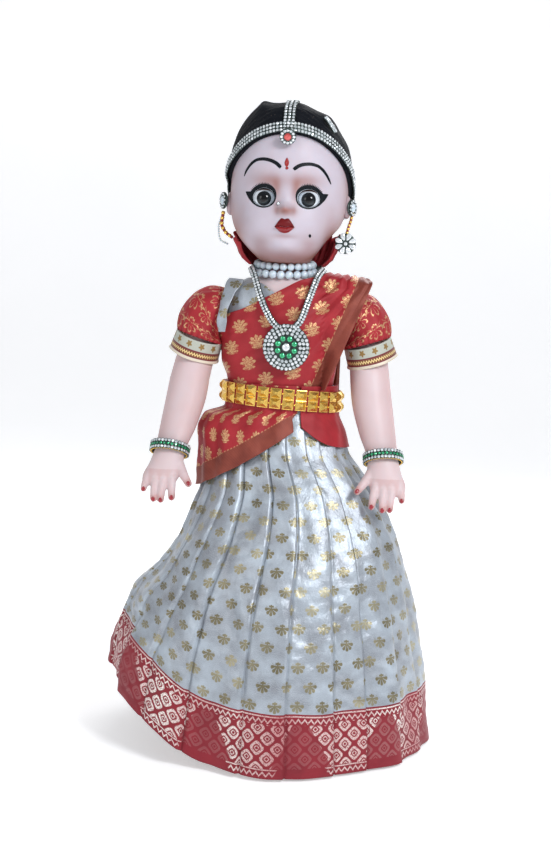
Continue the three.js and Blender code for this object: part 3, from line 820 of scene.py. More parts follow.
def places_on(path, out, closed, across_by=0.0, lift=0.0, spin=True):
    """Where stones go along a path: origin and axes, with the third axis out of the surface."""
    along, across, out = frames_on(path, out, closed)
    places = []
    for i, origin in enumerate(path):
        axes = np.stack([along[i], across[i], out[i]])
        if spin:
            turn = rng.uniform(0, TAU)
            tip = rng.normal(0, 0.10, 2)
            first = axes[0] * math.cos(turn) + axes[1] * math.sin(turn)
            normal = unit(axes[2] + axes[0] * tip[0] + axes[1] * tip[1])
            second = unit(np.cross(normal, first))
            axes = np.stack([np.cross(second, normal), second, normal])
        places.append((origin + across[i] * across_by + out[i] * lift, axes))
    return places


def set_stones(name, places, radius, height, body, look="clear_stone", sides=8, stands_for=()):
    """Stones with their cups: the cups are a piece of their own."""
    points, faces = copies(gem(radius, height, sides), places)
    # A random share of painted glint for each stone.
    tint_and_painted_light = np.repeat(rng.uniform(0, 1, len(places)), len(points) // len(places))
    put(name, points, faces, look, body, stands_for, smooth=False, tint_and_painted_light=tint_and_painted_light)
    points, faces = copies(cup(radius, height, sides), places)
    put(name + "_cups", points, faces, "cup_metal", body, smooth=False, slot=SLOTS[look])


def ripple(u, v, size, count=7, stretch=1.0):
    """Smooth random waves of about that size, between -1 and 1. stretch lengthens them along v."""
    total = np.zeros(np.broadcast(u, v).shape)
    for _ in range(count):
        heading, phase = rng.uniform(0, TAU, 2)
        scale = TAU / (size * rng.uniform(0.7, 1.6))
        total += np.sin(scale * (u * math.cos(heading) + v * math.sin(heading) / stretch) + phase)
    return total / (0.6 * count)


# ---- The doll's forms, as the frame has them ----

WAIST_TOP, BORDER_TOP, HEM_LIFT = 345.0, 57.0, 60.0
EYE_X, EYE_Y, EYE_Z, EYE_RADIUS = 20.5, -38.0, 515.0, 12.4
OPENING = {"x": 20.5, "z": 515.9, "half_width": 10.2, "half_height": 8.5}
SHOULDER_Z = 411.0

TORSO = Form([
    (234, 18, -17, 20, 0), (243, 22.5, -29, 33, 0), (262, 23.4, -38, 42, 0), (285, 23.4, -40, 42, 0),
    (292, 50, -39, 40, 0), (335, 47, -36.5, 33, 0), (362, 50, -38, 33, 0), (395, 54, -39, 33, 0),
    (415, 55, -36, 32, 0), (432, 50, -33, 30, 1), (440, 36, -28, 27, 1), (446, 25, -25, 25, 1),
])
HEAD = Form([
    (456, 15, -20, 14, -1), (457, 20, -27, 17, -1), (460, 24, -38, 19, -1, -1),
    (468, 31.5, -49.5, 22, -0.5, -2.5),
    (479, 40.5, -55, 30, 0, -3.6), (487, 46.5, -57, 38, 0, -2.5), (495, 51.2, -57.5, 45, 0, -1.2),
    (515, 55.8, -56, 53, 0), (540, 55.5, -56, 57.5, 0),
    (565, 51, -53, 56, 0), (583, 43, -45, 48, 0.5), (596, 31, -33, 35, 1), (603.5, 14, -16, 17, 1),
    (605, 0.5, -1, 1, 1),
])
SKIRT = Form([
    (345, 50.4, -40.4, 38.2, 0, 0), (318, 51.4, -41.4, 39.6, 0, 0), (300, 60, -49, 49, 0, -1),
    (280, 65, -56, 56, 0, 0), (262, 74, -65, 65, 0, 4), (240, 84, -76, 76, 0, 9), (215, 97, -89, 89, 0, 10),
    (150, 126.5, -116, 116, 0, 4), (57, 150.5, -139, 139, 0, 0), (0, 157, -146, 146, 0, 0),
])
PANEL = Form([
    (345, 50.4, -40.4, 38.2, 0, 0), (320, 51.2, -41.2, 39.4, 0, 0), (311, 63, -46, 45, 0, -8),
    (300, 68, -51, 50, 0, -8), (280, 70, -58, 57, 0, -5), (262, 76, -67, 67, 0, 1),
    (240, 86, -78, 78, 0, 9), (225, 95, -87, 87, 0, 9),
])
ARM = [  # height, middle X and Y, half-width and half-depth
    (425, 73, 0, 4, 5), (422, 73, 0, 9, 11), (417, 74, 0, 13, 15), (404, 76, -1, 15.5, 17),
    (390, 79, -3, 16.5, 17), (366, 82.3, -8, 18.3, 17.5), (330, 86.8, -18, 19.2, 18),
    (300, 93.3, -30, 17.2, 16.5), (279, 99, -42, 14.6, 13.5), (267, 101, -48, 15.8, 11),
    (256, 104, -53, 17.2, 8.2), (249, 105, -56, 15.5, 6), (246, 105, -57.5, 9, 3),
]
LEG = [
    (290, 43, 0, 6, 8), (287, 43, 0, 13, 17), (281, 43, 0, 16.5, 23), (270, 43, 0, 18.5, 27.5),
    (246, 43, 0, 18.5, 26), (212, 41, 0, 19.5, 23.5), (165, 37, 0, 18, 19), (130, 37, 3, 18.5, 20),
    (50, 36, 0, 12.5, 14), (28, 36, -6, 14, 22), (10, 36, -14, 16.5, 33), (3, 36, -14, 16.3, 32.5),
    (0, 36, -14, 14, 29),
]
HAIRLINE = np.array([0.0, -58.0, 577.0])
HAIRLINE_UP = unit(np.array([0.0, 99.0, 108.0]))
HAIR = 4.2

LOOKS = {
    # The skins' second colours are the blush and painted shade colours.
    "vinyl": vinyl_look("face_vinyl", (0.53, 0.485, 0.555), (0.29, 0.12, 0.095)),
    "plastic": vinyl_look("body_plastic", (0.66, 0.545, 0.56), (0.50, 0.25, 0.23)),
    "eye": eye_look(),
    "eye_white": plain_look("eye_white", (0.66, 0.72, 0.78), Roughness=0.3),
    "black_paint": plain_look("black_paint", (0.004, 0.006, 0.009), Roughness=0.5, Specular_IOR_Level=0.15),
    "upper_lip": plain_look("upper_lip_paint", (0.14, 0.003, 0.005), Roughness=0.5, Specular_IOR_Level=0.25),
    "lip_paint": plain_look(
        "lip_paint", (0.24, 0.004, 0.007), Roughness=0.3, Coat_Weight=0.35, Coat_Roughness=0.1
    ),
    "red_paint": plain_look("red_paint", (0.30, 0.012, 0.012), Roughness=0.35),
    "nail_paint": plain_look("nail_paint", (0.32, 0.02, 0.03), Roughness=0.2, Coat_Weight=0.8),
    "lid": plain_look("lid_plastic", (0.16, 0.06, 0.05), Roughness=0.5),
    "lash": plain_look("lash", (0.004, 0.004, 0.005), Roughness=0.6, Specular_IOR_Level=0.15),
    "hair": hair_look(),
    "clear_stone": stone_look("clear_stone", (0.93, 0.97, 1.0), (0.20, 0.27, 0.29), 0.3),
    "green_stone": stone_look("green_stone", (0.03, 0.50, 0.20), (0.0, 0.10, 0.06), 0.4),
    "red_stone": stone_look("red_stone", (0.72, 0.10, 0.09), (0.30, 0.02, 0.02), 0.4),
    "cup_metal": metal_look("cup_metal", (0.14, 0.17, 0.16), (0.012, 0.030, 0.026), 0.35),
    "gilt": metal_look("gilt", (1.0, 0.72, 0.20), (0.72, 0.42, 0.08), 0.16),
    "pearl": pearl_look(),
    "thread": plain_look("thread", (0.05, 0.04, 0.045), Roughness=0.8),
    "wire": metal_look("steel_wire", (0.6, 0.6, 0.6), (0.25, 0.25, 0.26), 0.3),
    "lead": metal_look("lead", (0.30, 0.31, 0.33), (0.12, 0.12, 0.13), 0.5),
    "satin": satin_look(),
    "drape_silk": red_look(
        "drape_silk",
        {"wide": 26.0, "tall": 17.5, "size": 4.6, "petals": 4.4, "narrow": 0.85, "stacked": True},
        border=14.0,
    ),
    "panel_silk": red_look(
        "panel_silk",
        {"wide": 16.0, "tall": 18.0, "size": 4.4, "petals": 4.4, "narrow": 1.35, "stacked": True},
        border=14.5,
        selvedge=(141.0, 148.0),
    ),
    "sleeve_silk": red_look(
        "sleeve_silk",
        {"wide": 20.0, "tall": 15.0, "size": 5.6, "petals": 4.4, "narrow": 0.8, "outlined": True},
    ),
    "plain_silk": red_look("plain_silk"),
    "border_silk": lattice_look(),
    "trim": trim_look(),
}
SLOTS = {  # the slot of the record that each look belongs to
    "vinyl": "vinyl",
    "plastic": "body_plastic",
    "nail_paint": "body_plastic",
    "eye": "eye_plastic",
    "lid": "eye_plastic",
    "lash": "eye_plastic",
    "hair": "hair",
    "clear_stone": "clear_stones",
    "red_stone": "clear_stones",
    "cup_metal": "clear_stones",
    "green_stone": "green_stones",
    "gilt": "gilt",
    "pearl": "pearl",
    "thread": "pearl",
    "plain_silk": "red_cloth",
    "drape_silk": "red_brocade",
    "panel_silk": "red_brocade",
    "sleeve_silk": "red_brocade",
    "border_silk": "red_brocade",
    "satin": "silver_brocade",
    "trim": "silver_brocade",
}


# ---- Head ----


def face_relief(x, z):
    """How far the features stand forward of the plain form of the face."""

    def mound(at_x, at_z, wide, tall, height):
        return height * np.exp(-(((x - at_x) / wide) ** 2) - ((z - at_z) / tall) ** 2)

    relief = mound(0, 505.5, 5.6, 5.0, 6.2) + mound(0, 512, 4.0, 9.0, 1.6)
    relief = relief + mound(-5.2, 503.8, 2.6, 2.8, 1.6) + mound(5.2, 503.8, 2.6, 2.8, 1.6)
    relief = relief + mound(0, 490.5, 11, 7.5, 2.6) + mound(0, 472, 12, 7, 2.2)
    relief = relief - mound(0, 480.5, 8, 3.0, 0.9)
    for side in (-1, 1):
        relief = relief + mound(side * 29, 494, 14, 13, 2.2)
        relief = relief - mound(side * 20.3, 517, 12.5, 10.5, 1.9)
        relief = relief + mound(side * 23, 537, 14, 6, 0.8)
    return relief


def face_y(x, z, lift=0.0):
    """The front of the face, or a place that far in front of it."""
    return HEAD.front(x, z) - face_relief(x, z) - lift


def face_strip(name, outer, inner, look, rows=5, lift=0.14, crown=0.0, closed=True):
    """Paint or trim on the face between two outlines of X and Z. crown raises its middle."""
    share = np.linspace(0, 1, rows)[:, None]
    x = outer[None, :, 0] * (1 - share) + inner[None, :, 0] * share
    z = outer[None, :, 1] * (1 - share) + inner[None, :, 1] * share
    rise = lift * np.ones_like(share)
    rise[0] = -0.25
    y = face_y(x, z, rise + crown * np.sin(np.pi * share) ** 0.7)
    points = np.stack([x, y, z], axis=-1).reshape(-1, 3)
    faces = grid_faces(rows, outer.shape[0], around=closed)
    put(name, points, faces, look, "head")


def add_head():
    turn = np.linspace(-np.pi, np.pi, 241)[:-1]
    angles = FRONT + turn - 0.5 * np.sin(turn)
    heights = HEAD.heights(200)
    points = HEAD.point(angles[None], heights[:, None])
    facing = ease(-points[..., 1], 12, 34)
    points[..., 1] -= face_relief(points[..., 0], points[..., 2]) * facing
    flat = points.reshape(-1, 3)
    faces = np.array(grid_faces(len(heights), len(angles), around=True))
    centres = flat[faces].mean(axis=1)
    kept = np.ones(len(faces), bool)
    for side in (-1, 1):
        away = np.hypot(
            (centres[:, 0] - side * OPENING["x"]) / OPENING["half_width"],
            (centres[:, 2] - OPENING["z"]) / OPENING["half_height"],
        )
        hole = (away < 1.04) & (centres[:, 1] < 0)
        kept &= ~hole
    rim = np.intersect1d(np.unique(faces[kept]), np.unique(faces[~kept]))
    side = np.sign(flat[rim, 0])
    dx = flat[rim, 0] - side * OPENING["x"]
    dz = flat[rim, 2] - OPENING["z"]
    scale = 1.03 / np.hypot(dx / OPENING["half_width"], dz / OPENING["half_height"])
    flat[rim, 0] = side * OPENING["x"] + dx * scale
    flat[rim, 2] = OPENING["z"] + dz * scale
    flat[rim, 1] = face_y(flat[rim, 0], flat[rim, 2])
    x, y, z = flat.T
    # The tint darkens the skin: painted shade towards the sides and back of the head and under the chin.
    tint_and_painted_light = 0.04 + 0.55 * ease(y, -38, -4) + 0.85 * ease(474 - z, 0, 15)
    for side in (-1, 1):
        # A darker band over each upper lid, and painted shade at the inner eye corners, beside the nose and
        # below the corners of the mouth.
        lid = np.exp(-(((x - side * 17) / 14) ** 2) - ((z - 531) / 7) ** 2)
        corner = np.exp(-(((x - side * 9) / 4.5) ** 2) - ((z - 522) / 10) ** 2)
        shade_beside_nose = np.exp(-(((x - side * 8.5) / 2.6) ** 2) - ((z - 505) / 6) ** 2)
        jowl_shade = np.exp(-(((x - side * 22) / 9) ** 2) - ((z - 474) / 8) ** 2)
        tint_and_painted_light += (0.66 * lid + 0.60 * corner + 0.26 * shade_beside_nose + 0.42 * jowl_shade) * (y < -20)
    tint_and_painted_light += 0.90 * np.exp(-((x / 8.8) ** 2) - ((z - 503.6) / 4.2) ** 2) * (y < -40)
    # Painted shade in the hollow under the lower lip.
    tint_and_painted_light += 0.45 * np.exp(-((x / 10) ** 2) - ((z - 481.0) / 2.4) ** 2) * (y < -40)
    # Painted shade on the sides of the face and jaw.
    tint_and_painted_light += 0.65 * np.exp(-(((np.abs(x + 2) - 44) / 9) ** 2) - ((z - 480) / 26) ** 2)
    faces = [tuple(face) for face in faces[kept]] + caps(len(angles), len(flat))
    put("head", flat, faces, "vinyl", "head", ["head_shell"], tint_and_painted_light=np.clip(tint_and_painted_light, 0, 1))
    levels = np.array([431, 434, 440, 450, 460, 468, 474])
    radii = np.array([20.4, 21, 21, 21, 20.6, 21.5, 24])
    rings = [ring_points(radius, level, 64) for radius, level in zip(radii, levels)]
    points = np.vstack(rings)
    faces = grid_faces(len(rings), 64, around=True)
    # The neck's strong even tint is painted shade under the chin.
    put("neck", points, faces, "vinyl", "head", tint_and_painted_light=np.full(len(points), 0.75))


def add_ears():
    parts = []
    for side in (-1, 1):
        corners, faces = bead(1.0, 28, 20)
        out = corners[:, 0]
        hollow = 2.4 * np.exp(-((corners[:, 1] / 0.5) ** 2) - ((corners[:, 2] - 0.1) / 0.5) ** 2) * (out > 0)
        corners = corners * [5, 7.5, 11]
        corners[:, 0] -= hollow
        corners = corners * [side, 1, 1] + [side * 55.0, -6, 512]
        parts.append((corners, faces if side > 0 else [face[::-1] for face in faces]))
    points, faces = joined(*parts)
    put("ears", points, faces, "vinyl", "head", tint_and_painted_light=np.full(len(points), 0.45))


def add_eye_paint():
    """Black liner round each opening, with a wing at the outer corner and lash tips along the top."""
    outline = np.array([  # from the outer corner, up and round: outwards and up from the opening's middle
        (19.0, 5.6), (13.4, 5.4), (11.2, 8.0), (6.8, 11.4), (0.4, 13.0), (-6.4, 11.4), (-10.4, 8.0),
        (-12.0, 3.6), (-11.6, -1.0), (-10.4, -4.8), (-7.4, -7.8), (-2.6, -9.6), (2.8, -9.5), (8.4, -7.2),
        (13.0, -3.2), (16.8, 1.4),
    ])
    turn = np.arctan2(outline[:, 1], outline[:, 0])
    order = np.argsort(turn)
    reach = np.hypot(outline[:, 0], outline[:, 1])[order]
    turn = turn[order]
    count = 420
    angle = TAU * np.arange(count) / count - np.pi
    radius = np.interp(angle, np.r_[turn - TAU, turn, turn + TAU], np.tile(reach, 3))
    smooth = np.array([radius[(np.arange(count) + k) % count] for k in (-2, -1, 0, 1, 2)]).mean(axis=0)
    tip = np.abs(angle - math.atan2(5.6, 19.0)) < 0.12
    radius = np.where(tip, radius, smooth)
    top = ease(np.degrees(angle), 24, 34) * (1 - ease(np.degrees(angle), 112, 130))
    teeth = np.abs((np.degrees(angle) / 6.4) % 1 - 0.5) * 2
    radius = radius + top * (2.3 * teeth**2.2 - 0.4)
    outer = np.stack([radius * np.cos(angle), radius * np.sin(angle)], axis=1)
    inner_x, inner_z = OPENING["half_width"], OPENING["half_height"]
    inner_r = inner_x * inner_z / np.hypot(inner_z * np.cos(angle), inner_x * np.sin(angle))
    inner = np.stack([inner_r * np.cos(angle), inner_r * np.sin(angle)], axis=1)
    for name, side in (("right", -1), ("left", 1)):
        middle = np.array([side * OPENING["x"], OPENING["z"]])
        mirror = np.array([side, 1])
        step = side if side > 0 else -1
        out_line = (outer * mirror + middle)[::step]
        in_line = (inner * mirror + middle)[::step]
        face_strip(f"eye_liner_{name}", out_line, in_line, "black_paint", rows=6)
        depth = np.linspace(0, 1, 6)[:, None]
        ring = inner[None] * (1 - 0.02 * depth[..., None]) * mirror + middle
        front = face_y(ring[..., 0], ring[..., 1], 0.14)
        centre = np.array([side * EYE_X, EYE_Z])
        reach2 = ((ring - centre) ** 2).sum(axis=-1)
        ball = EYE_Y - np.sqrt(np.maximum((EYE_RADIUS + 0.55) ** 2 - reach2, 1))
        back = np.maximum(ball, front + 0.4)
        y = front * (1 - depth) + back * depth
        points = np.stack([ring[..., 0], y, ring[..., 1]], axis=-1)[:, ::step].reshape(-1, 3)
        put(f"eye_rim_{name}", points, grid_faces(6, count, around=True), "eye_white", "head")


def add_brows_and_marks():
    brow = [
        (5.8, 541.9), (10.4, 545.6), (16, 547.8), (21.6, 548.6), (27.2, 547.9), (32, 545.2), (35.8, 541.0),
        (38.6, 536.4), (40.2, 532.8),
    ]
    line = smooth_path(brow, 60)
    share = np.linspace(0, 1, 60)
    width = np.interp(share, [0, 0.04, 0.3, 0.7, 0.9, 1], [3.2, 4.4, 4.0, 3.3, 2.5, 1.0])[:, None]
    step = unit(np.gradient(line, axis=0))
    across = np.stack([-step[:, 1], step[:, 0]], axis=1)
    for name, side in (("right", -1), ("left", 1)):
        mirror = np.array([side, 1])
        droop = np.stack([0 * share, -0.06 * side * line[:, 0]], axis=1)
        upper, lower = [(line + across * width / 2 * way + droop) * mirror for way in (1, -1)]
        pair = (upper, lower) if side > 0 else (lower, upper)
        face_strip(f"brow_{name}", *pair, "black_paint", rows=4, closed=False)
    angle = -TAU * np.arange(32) / 32

    def spot(name, x, z, half_width, half_height, look, crown, point=0.0):
        shape = np.stack([half_width * np.cos(angle), half_height * np.sin(angle)], axis=1)
        shape[:, 0] *= 1 - point * np.clip(shape[:, 1] / half_height, 0, 1)
        middle = np.array([x, z])
        face_strip(name, middle + shape, middle + shape * 0.04, look, rows=5, crown=crown)

    spot("tilak", -0.3, 547.6, 2.2, 4.4, "red_paint", 0.7, point=0.45)
    spot("tilak_dot", 0, 542.3, 1.5, 1.5, "red_paint", 0.5)
    spot("beauty_spot", 23.0, 482.4, 1.35, 1.8, "black_paint", 0.15)


def add_lips():
    upper = np.array([
        (-9.25, 488.9), (-7.2, 492.4), (-5.2, 495.2), (-3.0, 497.2), (-1.4, 497.0), (0, 496.4), (1.4, 497.0),
        (3.0, 497.2), (5.2, 495.2), (7.2, 492.4), (9.25, 488.9),
    ])
    lower = np.array([
        (-9.25, 488.9), (-6.6, 486.6), (-4.0, 484.6), (0, 483.6), (4.0, 484.6), (6.6, 486.6), (9.25, 488.9),
    ])
    mouth = np.array([(-9.0, 488.9), (-4.5, 489.6), (0, 488.9), (4.5, 489.6), (9.0, 488.9)])
    at = np.linspace(upper[0, 0], upper[-1, 0], 60)
    upper = smooth_columns(upper[:, 0], upper, at)
    lower = smooth_columns(lower[:, 0], lower, at)
    mouth = smooth_columns(mouth[:, 0], mouth, np.linspace(mouth[0, 0], mouth[-1, 0], 60))
    face_strip("upper_lip", upper, mouth, "upper_lip", rows=12, crown=1.5, closed=False)
    face_strip("lower_lip", mouth, lower, "lip_paint", rows=12, lift=0.0, crown=2.0, closed=False)


def add_eyes():
    corners, faces = bead(EYE_RADIUS, 64, 40)
    bulge = np.exp(-((np.hypot(corners[:, 0], corners[:, 1]) / 5.2) ** 4)) * 0.9 * (corners[:, 2] > 0)
    corners[:, 2] += bulge
    turned = np.stack([corners[:, 0], -corners[:, 2], corners[:, 1]], axis=1)
    for name, side in (("right", -1), ("left", 1)):
        place = [side * EYE_X, EYE_Y, EYE_Z]
        put(f"eye_{name}", turned + place, faces, "eye", "eyes", [f"eyeball_{name}"])
        swing = np.radians(np.linspace(39, 150, 30))[:, None]
        across = np.linspace(-math.pi / 2 + 0.12, math.pi / 2 - 0.12, 40)[None]
        radius = EYE_RADIUS + 0.35
        x = radius * np.sin(across) + 0 * swing
        y = -radius * np.cos(across) * np.cos(swing)
        z = radius * np.cos(across) * np.sin(swing)
        points = np.stack([x, y, z], axis=-1).reshape(-1, 3) + place
        put(f"upper_lid_{name}", points, grid_faces(30, 40), "lid", "eyes", thick=0.25)
        lashes = []
        for share in np.linspace(-0.62, 0.62, 26):
            root_turn = math.radians(39.5)
            direction = np.array([math.sin(share), -math.cos(share) * math.cos(root_turn),
                                  math.cos(share) * math.sin(root_turn)])
            root = direction * (radius + 0.15)
            tip = root + direction * 2.3 + np.array([share * 1.6, 0.1, 0.9])
            middle = (root + tip) / 2 + [0, -0.3, -0.25]
            path = smooth_columns([0, 1, 2], [root, middle, tip], np.linspace(0, 2, 6))
            lashes.append(tube(path + place, np.linspace(0.22, 0.05, 6), 5))
        put(f"lashes_{name}", *joined(*lashes), "lash", "eyes")


# ---- Hair and head jewellery ----


def on_hairline(distance, offset, angles):
    """Where the head's form, grown by an offset, meets the plane that far above the hairline."""
    low, high = np.full(angles.shape, 462.0), np.full(angles.shape, 604.9)
    for _ in range(40):
        middle = (low + high) / 2
        above = (HEAD.point(angles, middle, offset) - HAIRLINE) @ HAIRLINE_UP > distance
        low, high = np.where(above, low, middle), np.where(above, middle, high)
    return (low + high) / 2


def pressed(points):
    """Hair and band lie flat over her right ear."""
    out = 2.8 * ease(540 - points[..., 2], 0, 9) * (points[..., 0] < 0)
    return points + out[..., None] * [1.0, 0, 0]


def add_hair():
    rows, columns = 90, 320
    turn = TAU * np.arange(columns) / columns
    start = on_hairline(0.0, HAIR, turn)
    points = []
    for i in range(rows):
        share = i / (rows - 1)
        offset = 0.4 + (HAIR - 0.4) * min(1.0, math.sqrt(share * 22))
        along_low = np.interp(start, HEAD.table[:, 0], HEAD.along)
        along = along_low + (HEAD.along[-1] - along_low) * share
        z = np.interp(along, HEAD.along, HEAD.table[:, 0])
        points.append(HEAD.point(turn, z, offset))
    points = np.array(points)
    x, y, z = points[..., 0], points[..., 1], points[..., 2]
    out = unit(points - np.array([0, 0, 530.0]))
    strand = ripple(y * 1.0 + z * 0.35, x * 0.12, 3.2, 9)
    wave = ripple(y, x * 0.5, 16, 6)
    fold = 2.6 * np.exp(-(((x + 27) / 5.0) ** 2) - ((y + 6) / 26) ** 2) * ease(z, 585, 598)
    lower = 3.2 * ease(x, 2, 26) * ease(z, 566, 588) + 1.8 * ease(z, 596, 606)
    amount = (0.28 * strand + 0.35 * wave + fold - lower) * ease(np.linspace(0, 1, rows), 0, 0.06)[:, None]
    peak = 2.4 * np.exp(-(((x + 26) / 7) ** 2) - ((y + 8) / 20) ** 2) * ease(z, 580, 596)
    points = pressed(points + out * amount[..., None])
    points[..., 2] += peak
    faces = grid_faces(rows, columns, around=True)
    faces.append(caps(columns, rows * columns)[1])
    put("hair", points, faces, "hair", "head", ["hair_cap"])
    corners, faces = bead(1.0, 96, 64)
    height = corners[:, 1] * 0 + np.arctan2(corners[:, 2], corners[:, 0])
    from_back = np.arccos(np.clip(corners[:, 1], -1, 1))
    coil = np.sin(height + from_back * 9.0)
    shaped = corners * [27, 19, 25] * (1 + 0.035 * coil * np.sin(from_back))[:, None]
    put("hair_bun", shaped + [0, 62, 526], faces, "hair", "head", ["hair_bun"])


def hair_path(distance, lift, count):
    """Places and outward directions along the hairline, from behind one ear to behind the other."""
    angles = FRONT + np.linspace(-2.6, 2.6, 700)
    z = on_hairline(distance, HAIR + lift, angles)
    path = evenly(np.hstack([HEAD.point(angles, z, HAIR + lift), HEAD.normal(angles, z, HAIR + lift)]), count)
    return pressed(path[:, :3]), unit(path[:, 3:])


def add_head_jewellery():
    angles = np.linspace(0, TAU, 241)[:-1]
    z = on_hairline(5.2, HAIR + 0.5, angles)
    path, out = pressed(HEAD.point(angles, z, HAIR + 0.5)), HEAD.normal(angles, z, HAIR + 0.5)
    put("headband", *ribbon(path, out, 4.5, 0.9, True), "cup_metal", "head", ["headband"])
    places = []
    for distance in (1.9, 5.2, 8.5):
        path, out = hair_path(distance, 1.3, 108)
        places += places_on(path, out, False)
    set_stones("headband_stones", places, 1.58, 1.2, "head")
    y = np.linspace(-52, 2, 400)
    crest = []
    normals = []
    for x in (-3.7, 0.0, 3.7):
        heights = []
        for wanted in y:
            levels = np.linspace(560, 604.9, 300)
            found = HEAD.point(np.full(300, FRONT if wanted < 0 else -FRONT), levels, HAIR + 1.2)
            heights.append(np.interp(-abs(wanted), found[:, 1] * (1 if wanted < 0 else -1), found[:, 2]))
        back = ease(y, -50, -15)
        line = np.stack([x + 1.5 * back, y, np.array(heights) - x * x * 0.012 - 2.2 * back], axis=1)
        crest.append(evenly(line, 20))
        slope = np.gradient(crest[-1], axis=0)
        normals.append(unit(np.cross(np.tile([[1.0, 0, 0]], (20, 1)), slope)))
    backing = ribbon(crest[1] - normals[1] * 0.9, normals[1], 5.3, 0.9, False)
    put("parting_strip", *backing, "cup_metal", "head", ["parting_strip"])
    places = []
    for line, out in zip(crest, normals):
        places += places_on(line, out, False)
    set_stones("parting_stones", places, 1.5, 1.15, "head")
    facing = unit(np.array([0.0, -1.0, -0.38]))
    add_rosette("tikka", [0, -59.8, 570.3], facing, 7.6, [(5.7, 12, 1.55)], (3.7, "red_stone"), "head",
                ["forehead_pendant"])
    jewel = []
    for share in np.linspace(0, 1, 12):
        x = 32.5 + 8.5 * share
        levels = np.linspace(560, 603, 200)
        spot = HEAD.point(np.full(200, math.atan2(-26, x)), levels, HAIR - 1.2)
        z_at = np.interp(-x, -spot[:, 0], spot[:, 2])
        jewel.append([x, np.interp(z_at, spot[:, 2], spot[:, 1]) - 2, z_at])
    jewel = evenly(np.array(jewel), 9)
    out = unit(jewel - np.array([0, 0, 545.0]))
    places = places_on(jewel, out, False, across_by=1.6) + places_on(jewel, out, False, across_by=-1.6)
    set_stones("hair_jewel", places, 1.7, 1.4, "head", stands_for=["hair_jewel"])
    stud_place = np.array([-6.6, face_y(-6.6, 510.2) - 0.5, 510.2])
    stud = [(stud_place, np.array([[1.0, 0, 0], [0, 0, 1.0], [0, -1.0, 0]]))]
    set_stones("nose_stud", stud, 1.5, 1.2, "head", stands_for=["nose_stud"])


def disc(centre, facing, radius, thick):
    """A low round plate with a rolled edge."""
    sides = 48
    profile = [(0.94, 0.0), (1.0, 0.3), (0.98, 0.8), (0.9, 1.0), (0.4, 0.92), (0.02, 0.9)]
    rings = np.vstack([ring_points(radius * r, thick * h, sides) for r, h in profile])
    faces = grid_faces(len(profile), sides, around=True)
    faces += caps(sides, len(profile) * sides)
    return rings @ facing_axes(facing) + centre, faces


def facing_axes(facing):
    facing = unit(np.asarray(facing, float))
    side = unit(np.cross([0, 0, 1.0], facing))
    return np.stack([side, np.cross(facing, side), facing])


def towards(axes, angle):
    return axes[0] * math.cos(angle) + axes[1] * math.sin(angle)


def add_rosette(name, centre, facing, radius, rings, middle, body, stands_for):
    """A plate set with rings of clear stones round a larger one. rings: radius, count, stone radius."""
    centre = np.asarray(centre, float)
    axes = facing_axes(facing)
    put(name, *disc(centre, facing, radius, 1.6), "cup_metal", body, stands_for=stands_for)
    places = []
    for ring_radius, count, _ in rings:
        for k in range(count):
            heading = towards(axes, TAU * k / count)
            places.append((centre + heading * ring_radius + axes[2] * 1.9, axes))
    set_stones(name + "_stones", places, rings[0][2], 1.2, body)
    size, look = middle
    set_stones(name + "_middle", [(centre + axes[2] * 1.9, axes)], size, size * 0.45, body, look, sides=14)


def add_ear_jewellery():
    for name, side in (("right", -1), ("left", 1)):
        facing = unit(np.array([side * 0.9, -0.55, 0.0]))
        centre = np.array([61.0 * side - 1.5 * (side > 0), -8.0, 514.5 - 3.0 * (side > 0)])
        put(f"ear_cover_{name}", *disc(centre, facing, 8.0, 1.4), "cup_metal", "head", [f"ear_cover_{name}"])
        axes = facing_axes(facing)
        places = []
        for k in range(11):
            angle = TAU * k / 11
            spot = centre + (axes[0] * math.cos(angle) * 0.8 + axes[1] * math.sin(angle)) * 6.4 + facing * 1.7
            places.append((spot, axes))
        set_stones(f"ear_cover_{name}_stones", places, 1.3, 1.1, "head")
        corners, faces = bead(1.0, 24, 16)
        middle = corners * [3.2, 4.4, 2.0] @ axes + centre + facing * 1.8
        put(f"ear_cover_{name}_pearl", middle, faces, "pearl", "head")
    chain = smooth_path([(-62, -6, 503), (-63, -6, 493), (-59, -7, 485), (-53, -8, 480.5)], 12)
    out = np.tile([[0.0, -1.0, 0.0]], (12, 1))
    bigger = places_on(chain, out, False, spin=False)
    points, faces = copies(bead(2.0, 12, 8), bigger[0::2])
    put("ear_chain", points, faces, "gilt", "ear_chain", ["ear_chain_right"])
    points, faces = copies(bead(1.7, 12, 8), bigger[1::2])
    put("ear_chain_beads", points, faces, "lip_paint", "ear_chain", slot="gilt")
    second = smooth_path([(-62, -5, 503), (-66, -5, 490), (-64, -6, 478), (-57, -7, 474)], 16)
    smaller = places_on(second, np.tile([[0.0, -1, 0]], (16, 1)), False, spin=False)
    points, faces = copies(bead(1.15, 10, 6), smaller)
    put("ear_chain_strand", points, faces, "pearl", "ear_chain", slot="gilt")
    put("ear_chain_wire", *joined(tube(chain, 0.5, 8), tube(second, 0.4, 8)), "gilt", "ear_chain")
    add_flower_earring()


